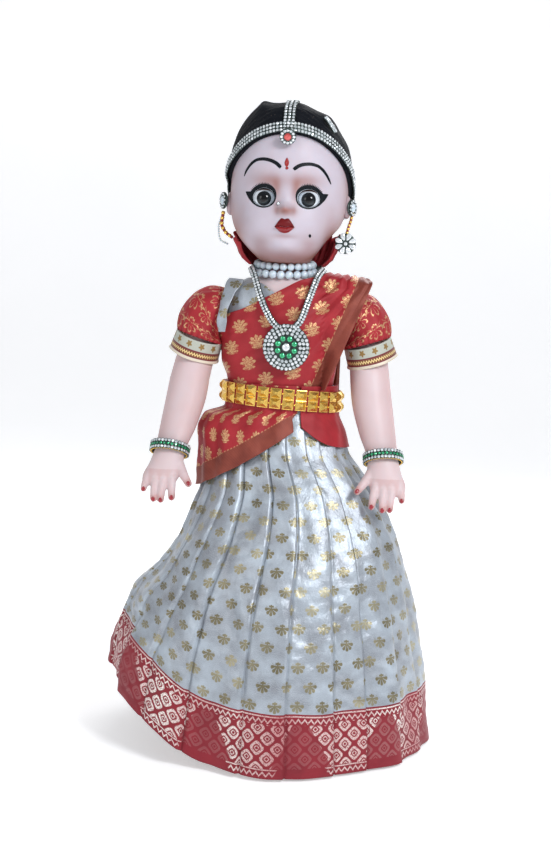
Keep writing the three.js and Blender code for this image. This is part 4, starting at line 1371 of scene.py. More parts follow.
def add_flower_earring():
    centre = np.array([55.5, -16.0, 477.5])
    facing = np.array([0.0, -1.0, 0.0])
    hook = smooth_path([(56, -15, 486), (57.5, -12, 493), (59.5, -9, 500), (60.5, -8, 506)], 12)
    along_hook = places_on(hook, np.tile([[0.0, -1.0, 0.0]], (12, 1)), False, spin=False)
    put("flower_chain", *copies(bead(1.6, 12, 8), along_hook[1::2]), "gilt", "flower_earring")
    put("flower_chain_beads", *copies(bead(1.4, 12, 8), along_hook[0::2]), "lip_paint", "flower_earring",
        slot="gilt")
    put("flower_earring", *joined(disc(centre, facing, 9.6, 1.2), tube(hook, 0.6)),
        "cup_metal", "flower_earring", stands_for=["flower_earring_left"])
    petals = []
    places = []
    for k in range(8):
        angle = TAU * (k + 0.5) / 8
        heading = np.array([math.cos(angle), 0, math.sin(angle)])
        across = np.array([-math.sin(angle), 0, math.cos(angle)])
        corners, faces = gem(1.0, 0.9, 12)
        taper = 0.62 + 0.38 * ease(corners[:, 0], -1, 0.6)
        shaped = (
            corners[:, :1] * 3.7 * heading + (corners[:, 1] * taper * 2.55)[:, None] * across
            + corners[:, 2:] * 1.4 * facing
        )
        petals.append((shaped + centre + heading * 6.9 + facing * 1.3, [face[::-1] for face in faces]))
        places.append((centre + heading * 2.4 + facing * 1.5, facing_axes(facing)))
    points, faces = joined(*petals)
    # A random share of painted glint for each petal.
    tint_and_painted_light = np.repeat(rng.uniform(0.5, 1, 8), len(points) // 8)
    put("flower_petals", points, faces, "clear_stone", "flower_earring", smooth=False, tint_and_painted_light=tint_and_painted_light,
        slot="clear_stones")
    set_stones("flower_middle", [(centre + facing * 1.4, facing_axes(facing))], 1.9, 1.2, "flower_earring")


# ---- Body ----


def limb_form(rows):
    return Form([(z, half, y - deep, y + deep, 0, x) for z, x, y, half, deep in rows])


def closed_form(form, rows, columns, inner=None):
    """A closed skin through a form. inner keeps it at least that far from the middle plane."""
    angles = TAU * np.arange(columns) / columns
    points = form.point(angles[None], form.heights(rows)[:, None]).reshape(-1, 3)
    if inner is not None:
        points[:, 0] = np.where(points[:, 2] > 228, np.maximum(points[:, 0], inner), points[:, 0])
    faces = grid_faces(rows, columns, around=True)
    faces += caps(columns, rows * columns)
    return points, faces


def mirrored(points, faces, side):
    """The shape on her left, or its mirror image on her right."""
    if side > 0:
        return points, faces
    return points * [-1, 1, 1], [tuple(face)[::-1] for face in faces]


def moulded(parts, voxel, rounds):
    """Overlapping closed shapes melted into one smooth skin."""
    points, faces = joined(*parts)
    mesh = bpy.data.meshes.new("moulding")
    mesh.from_pydata(points.tolist(), [], faces)
    holder = bpy.data.objects.new("moulding", mesh)
    bpy.context.scene.collection.objects.link(holder)
    melt = holder.modifiers.new("melt", "REMESH")
    melt.mode = "VOXEL"
    melt.voxel_size = voxel
    soften = holder.modifiers.new("soften", "SMOOTH")
    soften.factor = 0.5
    soften.iterations = rounds
    view = bpy.context.evaluated_depsgraph_get()
    result = bpy.data.meshes.new_from_object(holder.evaluated_get(view))
    corners = np.zeros(len(result.vertices) * 3)
    result.vertices.foreach_get("co", corners)
    shapes = [tuple(face.vertices) for face in result.polygons]
    bpy.data.objects.remove(holder)
    bpy.data.meshes.remove(result)
    return corners.reshape(-1, 3), shapes


FINGERS = [  # the nail's half-width, then the radii and the points from knuckle to tip
    (2.0, [4.6, 4.3, 3.9, 3.3],
     [(94.5, -53, 262), (93.2, -57.5, 253), (91.6, -61, 244), (90.4, -62.5, 236.5)]),
    (1.9, [4.6, 4.3, 3.9, 3.2],
     [(101.3, -53, 262), (101, -58, 253), (100.6, -62, 243), (100.3, -63.5, 234)]),
    (1.9, [4.5, 4.2, 3.8, 3.1],
     [(107.6, -53, 262), (107.8, -58, 253), (107.7, -61.5, 243), (107.3, -63, 234.5)]),
    (1.7, [4.4, 3.9, 3.5, 3.0],
     [(113.4, -52, 261), (116, -55.5, 254), (117.6, -58, 248), (118, -59, 243)]),
    (1.9, [6.0, 5.0, 4.1, 3.3],
     [(92, -47, 270), (86.5, -52, 262), (81, -57, 255), (76.5, -60, 249.5)]),
]


def bowed(points, side):
    """Her right arm bends out further than her left."""
    out = np.interp(points[..., 2], [235, 262, 280, 310, 345, 385], [5.0, 2.4, 1.5, 2.6, 3.2, 0.0])
    return points + out[..., None] * [1.0 if side < 0 else 0.0, 0, 0]


def add_arms():
    parts = [closed_form(limb_form(ARM), 90, 40)]
    for _, radii, line in FINGERS:
        path = smooth_path(line, 14)
        thickness = np.interp(np.linspace(0, 3, 14), range(4), radii)
        parts.append(tube(path, thickness, 16))
        corners, faces = bead(1.0, 16, 10)
        parts.append((corners * radii[-1] + path[-1], faces))
        knuckle = path[1] + [0, -1.6, -1]
        parts.append((corners * 3.9 + knuckle, faces))
    points, faces = moulded(parts, 0.95, 5)
    plug = tube([[40, 0, SHOULDER_Z], [43.5, 0, SHOULDER_Z], [43.6, 0, SHOULDER_Z], [75, 0, SHOULDER_Z]],
                np.array([14.5, 14.5, 12.0, 12.0]), 32)
    tip = np.array([line[-1] for _, _, line in FINGERS])
    near = np.linalg.norm(points[:, None] - tip[None], axis=2).min(axis=1)
    # Darker near the fingertips, and painted shade on the upper arm below the sleeve.
    tint_and_painted_light = 0.10 + 0.35 * ease(12 - near, 0, 10) + 0.30 * ease(points[:, 2], 372, 396)
    lines = np.vstack([smooth_path(line, 10)[1:8] for _, _, line in FINGERS])
    between = np.linalg.norm(points[:, None] - lines[None], axis=2).min(axis=1)
    # Painted shade between the fingers.
    tint_and_painted_light += 0.30 * ease(between, 3.9, 5.2) * (points[:, 2] < 262)
    # Painted highlight: the upper arm is darkened except along a stripe down its front.
    from_middle = points[:, 0] - np.interp(points[:, 2], [279, 366], [99, 83])
    painted_highlight = np.exp(-((from_middle / 9) ** 2)) * (points[:, 1] < -8)
    tint_and_painted_light = np.clip(tint_and_painted_light + 0.22 * (1 - painted_highlight) * (points[:, 2] > 285), 0, 1)
    for name, side in (("right", -1), ("left", 1)):
        body = f"arm_{name}"
        put(body, *mirrored(bowed(points, side), faces, side), "plastic", body, tint_and_painted_light=tint_and_painted_light,
            stands_for=[body])
        put(f"arm_plug_{name}", *mirrored(*plug, side), "plastic", body, tint_and_painted_light=np.zeros(len(plug[0])))
        nails = []
        for half, radii, line in FINGERS:
            path = smooth_path(line, 14)
            along = unit(path[-1] - path[-3])
            face = unit(np.array([0.0, -1.0, 0.25]) - along * np.dot([0.0, -1.0, 0.25], along))
            across = np.cross(along, face)
            corners, shapes = bead(1.0, 14, 8)
            nail = corners * [half, 2.5, 0.8] @ np.stack([across, along, face])
            nails.append((nail + path[-1] + face * (radii[-1] - 0.25) + along * 0.4, shapes))
        nail_points, nail_faces = joined(*nails)
        put(f"nails_{name}", *mirrored(bowed(nail_points, side), nail_faces, side), "nail_paint", body)


def add_torso_and_legs():
    points, faces = closed_form(TORSO, 90, 96)
    put("torso", points, faces, "plastic", "torso", tint_and_painted_light=np.full(len(points), 0.05),
        stands_for=["torso_front", "torso_back"])
    points, faces = closed_form(limb_form(LEG), 110, 48, inner=24.7)
    toes = 0.8 * np.cos((points[:, 0] - 36) * 0.95)
    toes *= ease(-points[:, 1], 34, 42) * ease(18 - points[:, 2], 0, 8)
    points[:, 1] -= toes
    tint_and_painted_light = 0.1 + 0.3 * ease(40 - points[:, 2], 0, 30)
    for name, side in (("right", -1), ("left", 1)):
        body = f"leg_{name}"
        put(body, *mirrored(points, faces, side), "plastic", body, tint_and_painted_light=tint_and_painted_light,
            stands_for=[body])


# ---- Necklaces, belt and bangles ----


def add_pearls():
    angle = TAU * np.arange(360) / 360
    strands = (("upper", 27.0, 456.6, 3.0, 3.55), ("lower", 28.6, 449.6, 3.4, 3.9))
    for name, radius, middle, drop, size in strands:
        x, y = radius * np.cos(angle) - 1.5, radius * np.sin(angle) - 1
        line = np.stack([x, y, middle + drop * np.sin(angle)], axis=1)
        count = int(TAU * radius / (2 * size * 0.98))
        path = evenly(np.vstack([line, line[:1]]), count, closed=True)
        out = unit(path - [-1.5, -1, middle])
        points, faces = copies(bead(size, 20, 12, 0.94), places_on(path, out, True, spin=False))
        put(f"pearls_{name}", points, faces, "pearl", "torso", [f"pearl_strand_{name}"])
        put(f"pearl_thread_{name}", *tube(line[::4], 0.6, 8, closed=True), "thread", "torso")


CHAINS = [  # her right and left: from the nape round the side of the neck and down to the pendant
    [(-18, 31, 453), (-31, 12, 453), (-32, -9, 452), (-28.5, -29, 446), (-20, -43, 424), (-9, -49, 404),
     (-3, -51, 398)],
    [(18, 31, 453), (33, 12, 453), (35, -9, 452), (31.5, -29, 446), (24, -43, 424), (17, -49, 404),
     (12, -51, 398)],
]
PENDANT = np.array([5.3, -48.4, 379.6])


def add_necklace():
    places = []
    strips = []
    for points in CHAINS:
        line = smooth_path(points, 60)
        out = unit(np.stack([line[:, 0] * 0.5, line[:, 1], (line[:, 2] - 425) * 0.8], axis=1))
        strips.append(ribbon(line, out, 3.1, 0.9, False))
        spots = evenly(line, 46)
        at, known = np.linspace(0, 1, 46), np.linspace(0, 1, 60)
        turned = unit(np.stack([np.interp(at, known, out[:, i]) for i in range(3)], axis=1))
        for across in (-1.55, 1.55):
            places += places_on(spots, turned, False, across_by=across, lift=1.3)
    back = smooth_path([(18, 31.5, 453), (8, 34.5, 452.6), (-8, 34.5, 452.6), (-18, 31.5, 453)], 12)
    strips.append(tube(back, 1.2, 10))
    put("necklace_chain", *joined(*strips), "cup_metal", "torso", ["necklace_chain"])
    set_stones("necklace_stones", places, 1.5, 1.3, "torso")
    facing = np.array([0.0, -1.0, 0.0])
    axes = facing_axes(facing)
    put("pendant", *disc(PENDANT, facing, 21.6, 3.0), "cup_metal", "torso", slot="green_stones",
        stands_for=["necklace_pendant"])
    clear, green = [], []
    for radius, count in ((19.9, 33), (16.5, 27), (13.2, 21)):
        for k in range(count):
            heading = towards(axes, TAU * (k + rng.uniform(-0.1, 0.1)) / count)
            clear.append((PENDANT + heading * radius + facing * 3.2, axes))
    for k in range(8):
        heading = towards(axes, TAU * (k + 0.5) / 8)
        green.append((PENDANT + heading * 8.3 + facing * 3.4, axes))
    set_stones("pendant_stones", clear, 1.78, 1.5, "torso")
    set_stones("pendant_green_stones", green, 2.75, 1.8, "torso", "green_stone", sides=12)
    set_stones("pendant_middle", [(PENDANT + facing * 3.4, axes)], 3.9, 2.2, "torso", sides=14)


def pyramid():
    """A gilt belt stud: a low pyramid with a chipped tip, wider than tall."""
    height = 3.4
    base = np.array([(-5.2, -4.75, 0), (5.2, -4.75, 0), (5.2, 4.75, 0), (-5.2, 4.75, 0)])
    levels = ((1.0, 0.0), (1.0, 0.7), (0.86, 1.0), (0.28, 1.0 + height * 0.72), (0.12, height))
    corners = np.vstack([base * scale + [0, 0, rise] for scale, rise in levels])
    faces = [(3, 2, 1, 0)]
    for level in range(4):
        low, high = 4 * level, 4 * level + 4
        faces += [(low + k, low + (k + 1) % 4, high + (k + 1) % 4, high + k) for k in range(4)]
    faces.append((16, 17, 18, 19))
    return corners, faces


def add_belt():
    tilt = 0.06
    angle = np.linspace(0, TAU, 721)[:-1]
    half_wide, half_deep, middle_y = 51.5 + 4.2, 40.75 + 4.2, -0.75
    x, y = half_wide * np.cos(angle), middle_y + half_deep * np.sin(angle)
    line = np.stack([x, y, 331.5 - tilt * x], axis=1)
    out = unit(np.stack([np.cos(angle) / half_wide, np.sin(angle) / half_deep, 0 * angle], axis=1))
    points, faces = ribbon(line[::3], out[::3], 9.4, 1.2, True)
    along = np.repeat(np.arange(240) * 1.4, 6)
    cloth = on_cloth(along, points[:, 2])
    put("belt_band", points, faces, "plain_silk", "torso", cloth=cloth, stands_for=["belt"])
    loop = np.vstack([line, line[:1]])
    count = 27
    path = evenly(loop, count, closed=True)
    out = unit((path - [0, middle_y, 0]) * [1 / half_wide**2, 1 / half_deep**2, 0])
    studs, links = [], []
    for row in (-4.85, 4.85):
        for origin, axes in places_on(path, out, True, across_by=row, lift=1.2, spin=False):
            tip = rng.normal(0, 0.05, 3)
            studs.append((origin, np.stack([axes[0], axes[1], unit(axes[2] + tip)])))
            links.append((origin + axes[0] * 6.1 + axes[2] * 0.5, axes))
    put("belt_studs", *copies(pyramid(), studs), "gilt", "torso", smooth=False)
    put("belt_links", *copies(bead(0.95, 8, 6), links), "gilt", "torso")


def add_bangles():
    centre = np.array([99.5, -42.2, 279.5])
    axis = unit(np.array([2.0, -9.0, -21.0]))
    side_axis = unit(np.cross(axis, [0, 1.0, 0]))
    other = np.cross(axis, side_axis)
    for name, side in (("right", -1), ("left", 1)):
        body = f"bangle_{name}"

        def ring(radius, along, count):
            turn = TAU * np.arange(count) / count
            out = np.cos(turn)[:, None] * side_axis + np.sin(turn)[:, None] * other
            line = bowed(centre + out * radius + axis * along, side)
            return line * [side, 1, 1], out * [side, 1, 1]

        path, out = ring(16.6, 0, 120)
        put(body, *ribbon(path, out, 4.1, 1.0, True), "cup_metal", body, slot="green_stones",
            stands_for=[body])
        clear, green = [], []
        for along, count, group in ((-3.1, 35, clear), (3.1, 35, clear), (0, 32, green)):
            path, out = ring(17.9, along, count)
            group += places_on(path, out, True)
        set_stones(f"{body}_stones", clear, 1.6, 1.3, body)
        set_stones(f"{body}_green", green, 1.55, 1.3, body, "green_stone")
        path, out = ring(17.2, 4.6, 56)
        put(f"{body}_beads", *copies(bead(0.7, 8, 6), places_on(path, out, True, spin=False)), "gilt", body)


# ---- Clothes ----


NO_BORDER = 99.0  # farther from the edge than any border is wide


def cloth_lengths(points):
    """Distances across and along a sheet of rows and columns of points."""
    across = np.linalg.norm(np.diff(points, axis=1), axis=2).mean(axis=0)
    along = np.linalg.norm(np.diff(points, axis=0), axis=2).mean(axis=1)
    return np.r_[0, np.cumsum(across)], np.r_[0, np.cumsum(along)]


def on_cloth(u, v, w=NO_BORDER):
    """Places on the flat cloth: across it, along it, and the distance from its bordered edge."""
    return np.stack(np.broadcast_arrays(u, v, w), axis=-1)


def mesh_area(points):
    """The area of a sheet of rows and columns of points, in square metres."""
    first = np.cross(points[1:, :-1] - points[:-1, :-1], points[:-1, 1:] - points[:-1, :-1])
    second = np.cross(points[1:, :-1] - points[1:, 1:], points[:-1, 1:] - points[1:, 1:])
    return float((np.linalg.norm(first, axis=2) + np.linalg.norm(second, axis=2)).sum() / 2) * MM * MM


PLEATS = 21
PLEAT_STEPS = np.r_[np.linspace(0, 0.92, 18), 0.95, 0.975]


def skirt_columns():
    """Angles of the columns, and for each the pleat it is in and how far across that pleat."""
    edges = (np.arange(PLEATS + 1) + np.r_[0, rng.uniform(-0.16, 0.16, PLEATS - 1), 0]) / PLEATS
    pleat = np.repeat(np.arange(PLEATS), len(PLEAT_STEPS))
    within = np.tile(PLEAT_STEPS, PLEATS)
    share = edges[pleat] + (edges[pleat + 1] - edges[pleat]) * within
    angle = TAU / 4 + TAU * share
    return np.r_[angle, angle[0] + TAU], np.r_[pleat, PLEATS], np.r_[within, 0.0]


def add_skirt():
    """Silver satin pleated from the waist, with the red border sewn to its lower edge."""
    angle, pleat, within = skirt_columns()
    strength = rng.uniform(0.8, 1.5, PLEATS + 1)
    strength[-1] = strength[0]
    lean = rng.uniform(-0.5, 0.5, PLEATS + 1)
    lean[-1] = lean[0]
    satin_heights = np.linspace(WAIST_TOP - 2, BORDER_TOP, 150)
    border_heights = np.linspace(BORDER_TOP, 0.6, 46)
    heights = np.r_[satin_heights, border_heights]
    z = heights[:, None] + 0 * angle[None]
    down = (WAIST_TOP - z) / WAIST_TOP
    rise = ease(within, 0, 0.9) * (1 - ease(within, 0.92, 0.975) * 1.8)
    knife = rise[None] * strength[pleat][None]
    fade = np.interp(heights, [0, 60, 130, 250, 310, 345], [1.7, 2.0, 2.8, 3.4, 2.0, 0.6])[:, None]
    broad = np.sin(angle * 8 + 0.7) * 0.6 + np.sin(angle * 5 + 2.1) * 0.5 + np.sin(angle * 13 + 4.0) * 0.25
    swell = np.interp(heights, [0, 57, 150, 250, 330], [4.6, 4.2, 3.4, 1.4, 0.0])[:, None]
    arc = (angle * 95)[None]
    tilted = lean[pleat][None] * down * 6
    small = ripple(arc + tilted, z, 26, 9, stretch=2.4)
    small *= np.interp(heights, [0, 200, 300, 345], [1.9, 1.8, 0.8, 0])[:, None]
    crease = ripple(arc, z, 10, 9, stretch=1.4) * np.interp(heights, [0, 200, 345], [0.55, 0.5, 0.1])[:, None]
    offset = knife * fade + broad[None] * swell - swell * 0.7 + small + crease - 1.0
    bearing = np.degrees(angle % TAU)
    past = (ease(213 - bearing, 0, 2.2) * ease(bearing, 150, 175))[None]
    offset = offset - 9.0 * past * ease(110 - z, 0, 60)
    points = SKIRT.point(angle[None] + 0 * z, z, offset)
    share = np.clip((210 - z) / 150, 0, 1)
    side = ease(-points[..., 0] / 157, 0.30, 1)
    points[..., 0] += side * (19.0 * np.exp(-(((z - 165) / 52) ** 2)) - 12.0 * ease(95 - z, 0, 80))
    front_left = np.exp(-(((points[..., 0] + 75) / 50) ** 2)) * (points[..., 1] < 0)
    points[..., 2] += (HEM_LIFT * side + 7.0 * front_left + 1.5) * share
    points[..., 2] += 5.0 * past * ease(100 - z, 0, 60)
    points[..., 2] = np.maximum(points[..., 2], 0.4)
    around = cloth_lengths(points[135:136])[0]
    pitch = around[-1] / PLEATS
    local = np.empty_like(z)
    steps = np.linalg.norm(np.diff(points, axis=1), axis=2)
    run = np.concatenate([np.zeros((len(heights), 1)), np.cumsum(steps, axis=1)], axis=1)
    for k in range(PLEATS + 1):
        mask = pleat == k
        start = run[:, mask][:, :1]
        end = run[:, np.flatnonzero(pleat == k)[-1] : np.flatnonzero(pleat == k)[-1] + 1]
        local[:, mask] = run[:, mask] - (start + end) / 2 + k * pitch
    fall = cloth_lengths(points[:, ::20])[1]
    satin = points[:150]
    cloth = on_cloth(local[:150], fall[:150, None], 0.0)
    columns = len(angle)
    skirt = put("skirt", satin, grid_faces(150, columns, flip=True), "satin", "torso",
                cloth=cloth, stands_for=["skirt"])
    border = np.vstack([points[149:150], points[150:]])
    above = (fall[-1] - fall[149:])[:, None]
    cloth = on_cloth(around[None], above, 0.0)
    hem = put("skirt_border", border, grid_faces(len(border), columns, flip=True), "border_silk",
              "torso", cloth=cloth, stands_for=["skirt_border"], thick=0.5)
    round(mesh_area(satin), 3)


def hem_height(form, angle, offset, height_at):
    """The height where a form's surface meets a sloping hem."""
    z = np.full(angle.shape, 290.0)
    for _ in range(30):
        z = 0.5 * z + 0.5 * height_at(form.point(angle, z, offset)[..., 0])
    return z


def add_hip_panel():
    """Red brocade over her right hip, with its copper border along the slanting hem."""
    form, offset = PANEL, 1.6
    start = -math.acos(22 / 66)
    angle = np.linspace(start, -TAU - start, 200)

    def hem(x):
        return 243 + 0.643 * (x + 76) - 2.0 * np.exp(-(((x + 20) / 30) ** 2))

    low = hem_height(form, angle, offset, hem)
    share = np.linspace(0, 1, 90)[:, None]
    z = low[None] + (343.5 - low[None]) * share
    arc = (-angle * 72)[None]
    fold = ripple(arc, z, 20, 8, stretch=2.0) * 0.8 + ripple(arc, z, 7, 8, 1.5) * 0.18
    pleat = np.sin(arc * TAU / 27 + z * 0.03) * 1.0
    lift = offset + (fold + pleat) * ease(share, 1.0, 0.75) + 1.2
    points = form.point(angle[None] + 0 * z, z, lift)
    across, _ = cloth_lengths(points[40:41])
    edge_distance = share * (343.5 - low[None]) * 0.84
    cloth = on_cloth(across[None], z, edge_distance)
    piece = put("hip_panel", points, grid_faces(90, 200), "panel_silk", "torso",
                cloth=cloth, stands_for=["hip_panel"], thick=0.6)
    area = round(min(mesh_area(points), 0.0259), 4)


def add_blouse_flap():
    """The plain red flap of the blouse below the belt, on her left."""
    form, offset = SKIRT, 1.8
    end = math.acos(23.5 / 62.0)
    angle = np.linspace(-end, end, 130)

    def hem(x):
        return 285 - 0.48 * (x - 64) - 4.5 * np.sin(np.clip((x - 22) / 42, 0, 1) * np.pi)

    low = hem_height(form, angle, offset, hem)
    share = np.linspace(0, 1, 60)[:, None]
    z = low[None] + (343.5 - low[None]) * share
    arc = (angle * 62)[None]
    fold = ripple(arc, z, 18, 7, stretch=2.0) * 0.7 + ripple(arc, z, 7, 8, 1.5) * 0.15
    points = form.point(angle[None] + 0 * z, z, offset + 1.3 + fold * ease(share, 1.0, 0.7))
    cloth = on_cloth(arc, z)
    piece = put("blouse_flap", points, grid_faces(60, 130, flip=True), "plain_silk", "torso",
                cloth=cloth, stands_for=["blouse_flap"], thick=0.7)
    area = round(min(mesh_area(points), 0.0082), 4)


def add_blouse():
    """The blouse: silver round the shoulders and plain red below."""
    angle = np.linspace(FRONT + TAU / 2, FRONT - TAU / 2, 241)
    for name, look, low, high, lift, replaced in (
        ("blouse", "plain_silk", 343.0, 400.0, 1.3, ["blouse"]),
        ("blouse_yoke", "satin", 398.0, 440.5, 1.8, []),
    ):
        heights = TORSO.heights(60, low, high)
        z = heights[:, None] + 0 * angle[None]
        from_seam = np.minimum(angle - angle[-1], angle[0] - angle)[None]
        fold = ripple((angle * 52)[None], z, 22, 7) * 0.35 * ease(from_seam, 0, 0.4)
        points = TORSO.point(angle[None] + 0 * z, z, lift + fold)
        across, along = cloth_lengths(points)
        cloth = on_cloth(across[None], along[:, None])
        faces = grid_faces(60, 241)
        flat = points.reshape(-1, 3)
        middles = flat[np.array(faces)].mean(axis=1)
        armhole = (np.hypot(middles[:, 1], middles[:, 2] - SHOULDER_Z) > 14.5) | (np.abs(middles[:, 0]) < 38)
        neckline = (np.hypot(middles[:, 0], middles[:, 1] + 1) > 35.5) | (middles[:, 2] < 426)
        faces = [face for face, keep in zip(faces, armhole & neckline) if keep]
        piece = put(name, flat, faces, look, "torso", replaced, cloth=cloth, thick=0.5)


def add_armhole_strip():
    """The silver edge of the blouse beside her right armhole."""
    way = [(-46, -17, 441), (-51, -25, 430), (-55, -30.5, 416), (-57, -33, 402), (-56.5, -34, 391)]
    line = smooth_path(way, 60)
    turn = np.linspace(0, 1, 60)
    out = unit(np.stack([-0.45 + 0.25 * np.sin(turn * 9), -1 + 0 * turn, 0.9 * (1 - turn)], axis=1))
    half = np.interp(turn, [0, 0.3, 1], [8.0, 6.5, 3.8])[:, None] + 0.5 * np.sin(turn * 17)[:, None]
    points, faces = ribbon(line, out, half, 0.8, False)
    width = (np.array([-1, -1, -0.92, 0.92, 1, 1])[None] * half).ravel()
    length = np.repeat(lengths_along(line), 6)
    cloth = on_cloth(width + 9, length, 0.0)
    piece = put("armhole_strip", points, faces, "satin", "torso", cloth=cloth)


def on_chest(x, z, offset):
    """A place on the front of the torso. Past the sides it wraps round instead of ending."""
    half, front, back, _, _ = TORSO.columns(z)
    limit = 47.0
    inner = np.clip(x, -limit, limit)
    angle = np.arccos(np.clip(inner / (half + offset), -1, 1))
    angle = angle + np.sign(-x) * np.maximum(np.abs(x) - limit, 0) / 40.0
    return np.stack([
        (half + offset) * np.cos(angle),
        (front + back) / 2 - ((back - front) / 2 + offset) * np.sin(angle),
        z,
    ], axis=-1)


DRAPE_PIVOT = np.array([100.9, 486.3])  # where the drape's two long edges would meet, in X and Z
SHOULDER_WAY = [  # over the shoulder and down the back: X, Y and Z, each of the inner and then the outer edge
    (30, 81, -22, -11, 446, 442), (37.5, 78, 0, 2, 449, 445), (34, 70, 22, 20, 447, 442),
    (27, 62, 36, 33, 437, 432), (20, 56, 43, 42.5, 420, 418), (18, 54, 44.5, 44, 392, 391),
    (17.5, 54, 46, 45.5, 362, 362), (17, 54, 51, 50.5, 340, 340), (17, 55, 52, 51.5, 316, 316),
    (16, 56, 57, 56.5, 299, 299), (15, 57, 63, 62.5, 283, 283), (13, 59, 74, 73, 259, 259),
]


def add_drape():
    """The half saree: from her right side across the chest, over her left shoulder and down the back."""
    lines = 150
    share = np.linspace(0, 1, lines)
    inner_turn, outer_turn = math.atan2(441 - 486.3, 15 - 100.9), math.atan2(340 - 486.3, 43 - 100.9)
    turn = inner_turn + (outer_turn - inner_turn) * share
    heading = np.stack([np.cos(turn), np.sin(turn)], axis=1)
    top = np.stack([15 + 68 * share, 441 - 1.0 * share], axis=1)
    start = (top - DRAPE_PIVOT)
    near = np.linalg.norm(start, axis=1)
    to_belt = (338 + 2.0 - DRAPE_PIVOT[1]) / heading[:, 1]
    to_side = (-72.0 - DRAPE_PIVOT[0]) / heading[:, 0]
    far = np.minimum(to_belt, to_side)
    steps = 110
    columns = []
    for k in range(lines):
        reach = np.linspace(far[k], near[k], steps)
        x = DRAPE_PIVOT[0] + heading[k, 0] * reach
        z = DRAPE_PIVOT[1] + heading[k, 1] * reach
        z = np.maximum(z, 339.5 - 0.06 * x)
        chest = on_chest(x, z, 3.2)
        edge_x = 43 + (z - 340) * 40 / 101
        edge_y = np.interp(z, [340, 360, 380, 400, 420, 441], [-43, -41.5, -38.5, -34, -29, -22])
        chest[:, 0] -= 4.0 * ease(-chest[:, 0], 36, 48) * ease(z, 345, 365)
        anchor = on_chest(np.full(steps, 38.0), z, 3.2)
        mix = ease(x, 38.0, np.maximum(edge_x, 38.5))
        y = np.where(x > 38, anchor[:, 1] * (1 - mix) + edge_y * mix, chest[:, 1])
        front = np.stack([np.where(x > 38, x, chest[:, 0]), y, z], axis=1)
        over = np.array([
            (a + (b - a) * share[k], c + (d - c) * share[k], e + (f - e) * share[k])
            for a, b, c, d, e, f in SHOULDER_WAY
        ])
        path = np.vstack([front[::6], front[-1:], over])
        knots = lengths_along(path)
        wanted = np.linspace(0, knots[-1], 260)
        columns.append(smooth_columns(knots, path, wanted))
    points = np.stack(columns, axis=1)
    around = unit(np.gradient(points, axis=1))
    along = unit(np.gradient(points, axis=0))
    out = unit(np.cross(around, along))
    run = np.linspace(0, 1, 260)[:, None]
    gather = np.interp(run, [0, 0.18, 0.36, 0.5, 0.62, 1.0], [0.5, 0.9, 2.0, 2.4, 1.8, 2.4])
    wave = share[None] * 5.2 + 0.25 * np.sin(run * 9) + 0.1
    pleats = (np.abs(np.sin(wave * np.pi)) ** 0.7 - 0.5) * gather
    pleats = pleats * (1 - ease(share[None], 0.86, 0.94) * ease(0.4 - run, 0, 0.12))
    small = ripple(share[None] * 110 + 0 * run, run * 420, 14, 9, 1.8) * 0.55
    points = points + out * (pleats + small + 1.2)[..., None]
    _, down = cloth_lengths(points)
    distance = (1 - share)[None] * np.linalg.norm(points[:, -1] - points[:, 0], axis=1)[:, None]
    x, z = points[..., 0], points[..., 2]
    edge = np.abs((43 + (z - 340) * 40 / 101) - x) * 0.93
    front_part = ease(0.5 - run, 0, 0.05) > 0.5
    distance = np.where(front_part, np.where(x > 0, edge, 99.0), distance)
    u = np.where(front_part, x * 0.96 + z * 0.26, share[None] * 80)
    v = np.where(front_part, z * 0.96 - x * 0.26, down[:, None])
    cloth = on_cloth(u, v, distance)
    piece = put("drape", points, grid_faces(260, lines), "drape_silk", "torso",
                cloth=cloth, stands_for=["drape", "drape_tail"], thick=0.6)
    round(mesh_area(points), 4)


SLEEVE = [  # middle X, Y, Z, tilt in degrees and radius of each ring, from the armhole to the cuff
    (55.5, 0, 410, -4, 20.5), (60.6, 0, 410.5, 2, 22.0), (67, 0, 409, 16, 24.2), (74.5, -1, 403, 38, 24.8),
    (78.5, -3, 394, 56, 24.8), (79.6, -5.2, 388, 68, 23.8), (80.0, -6, 384.5, 73, 22.6),
]


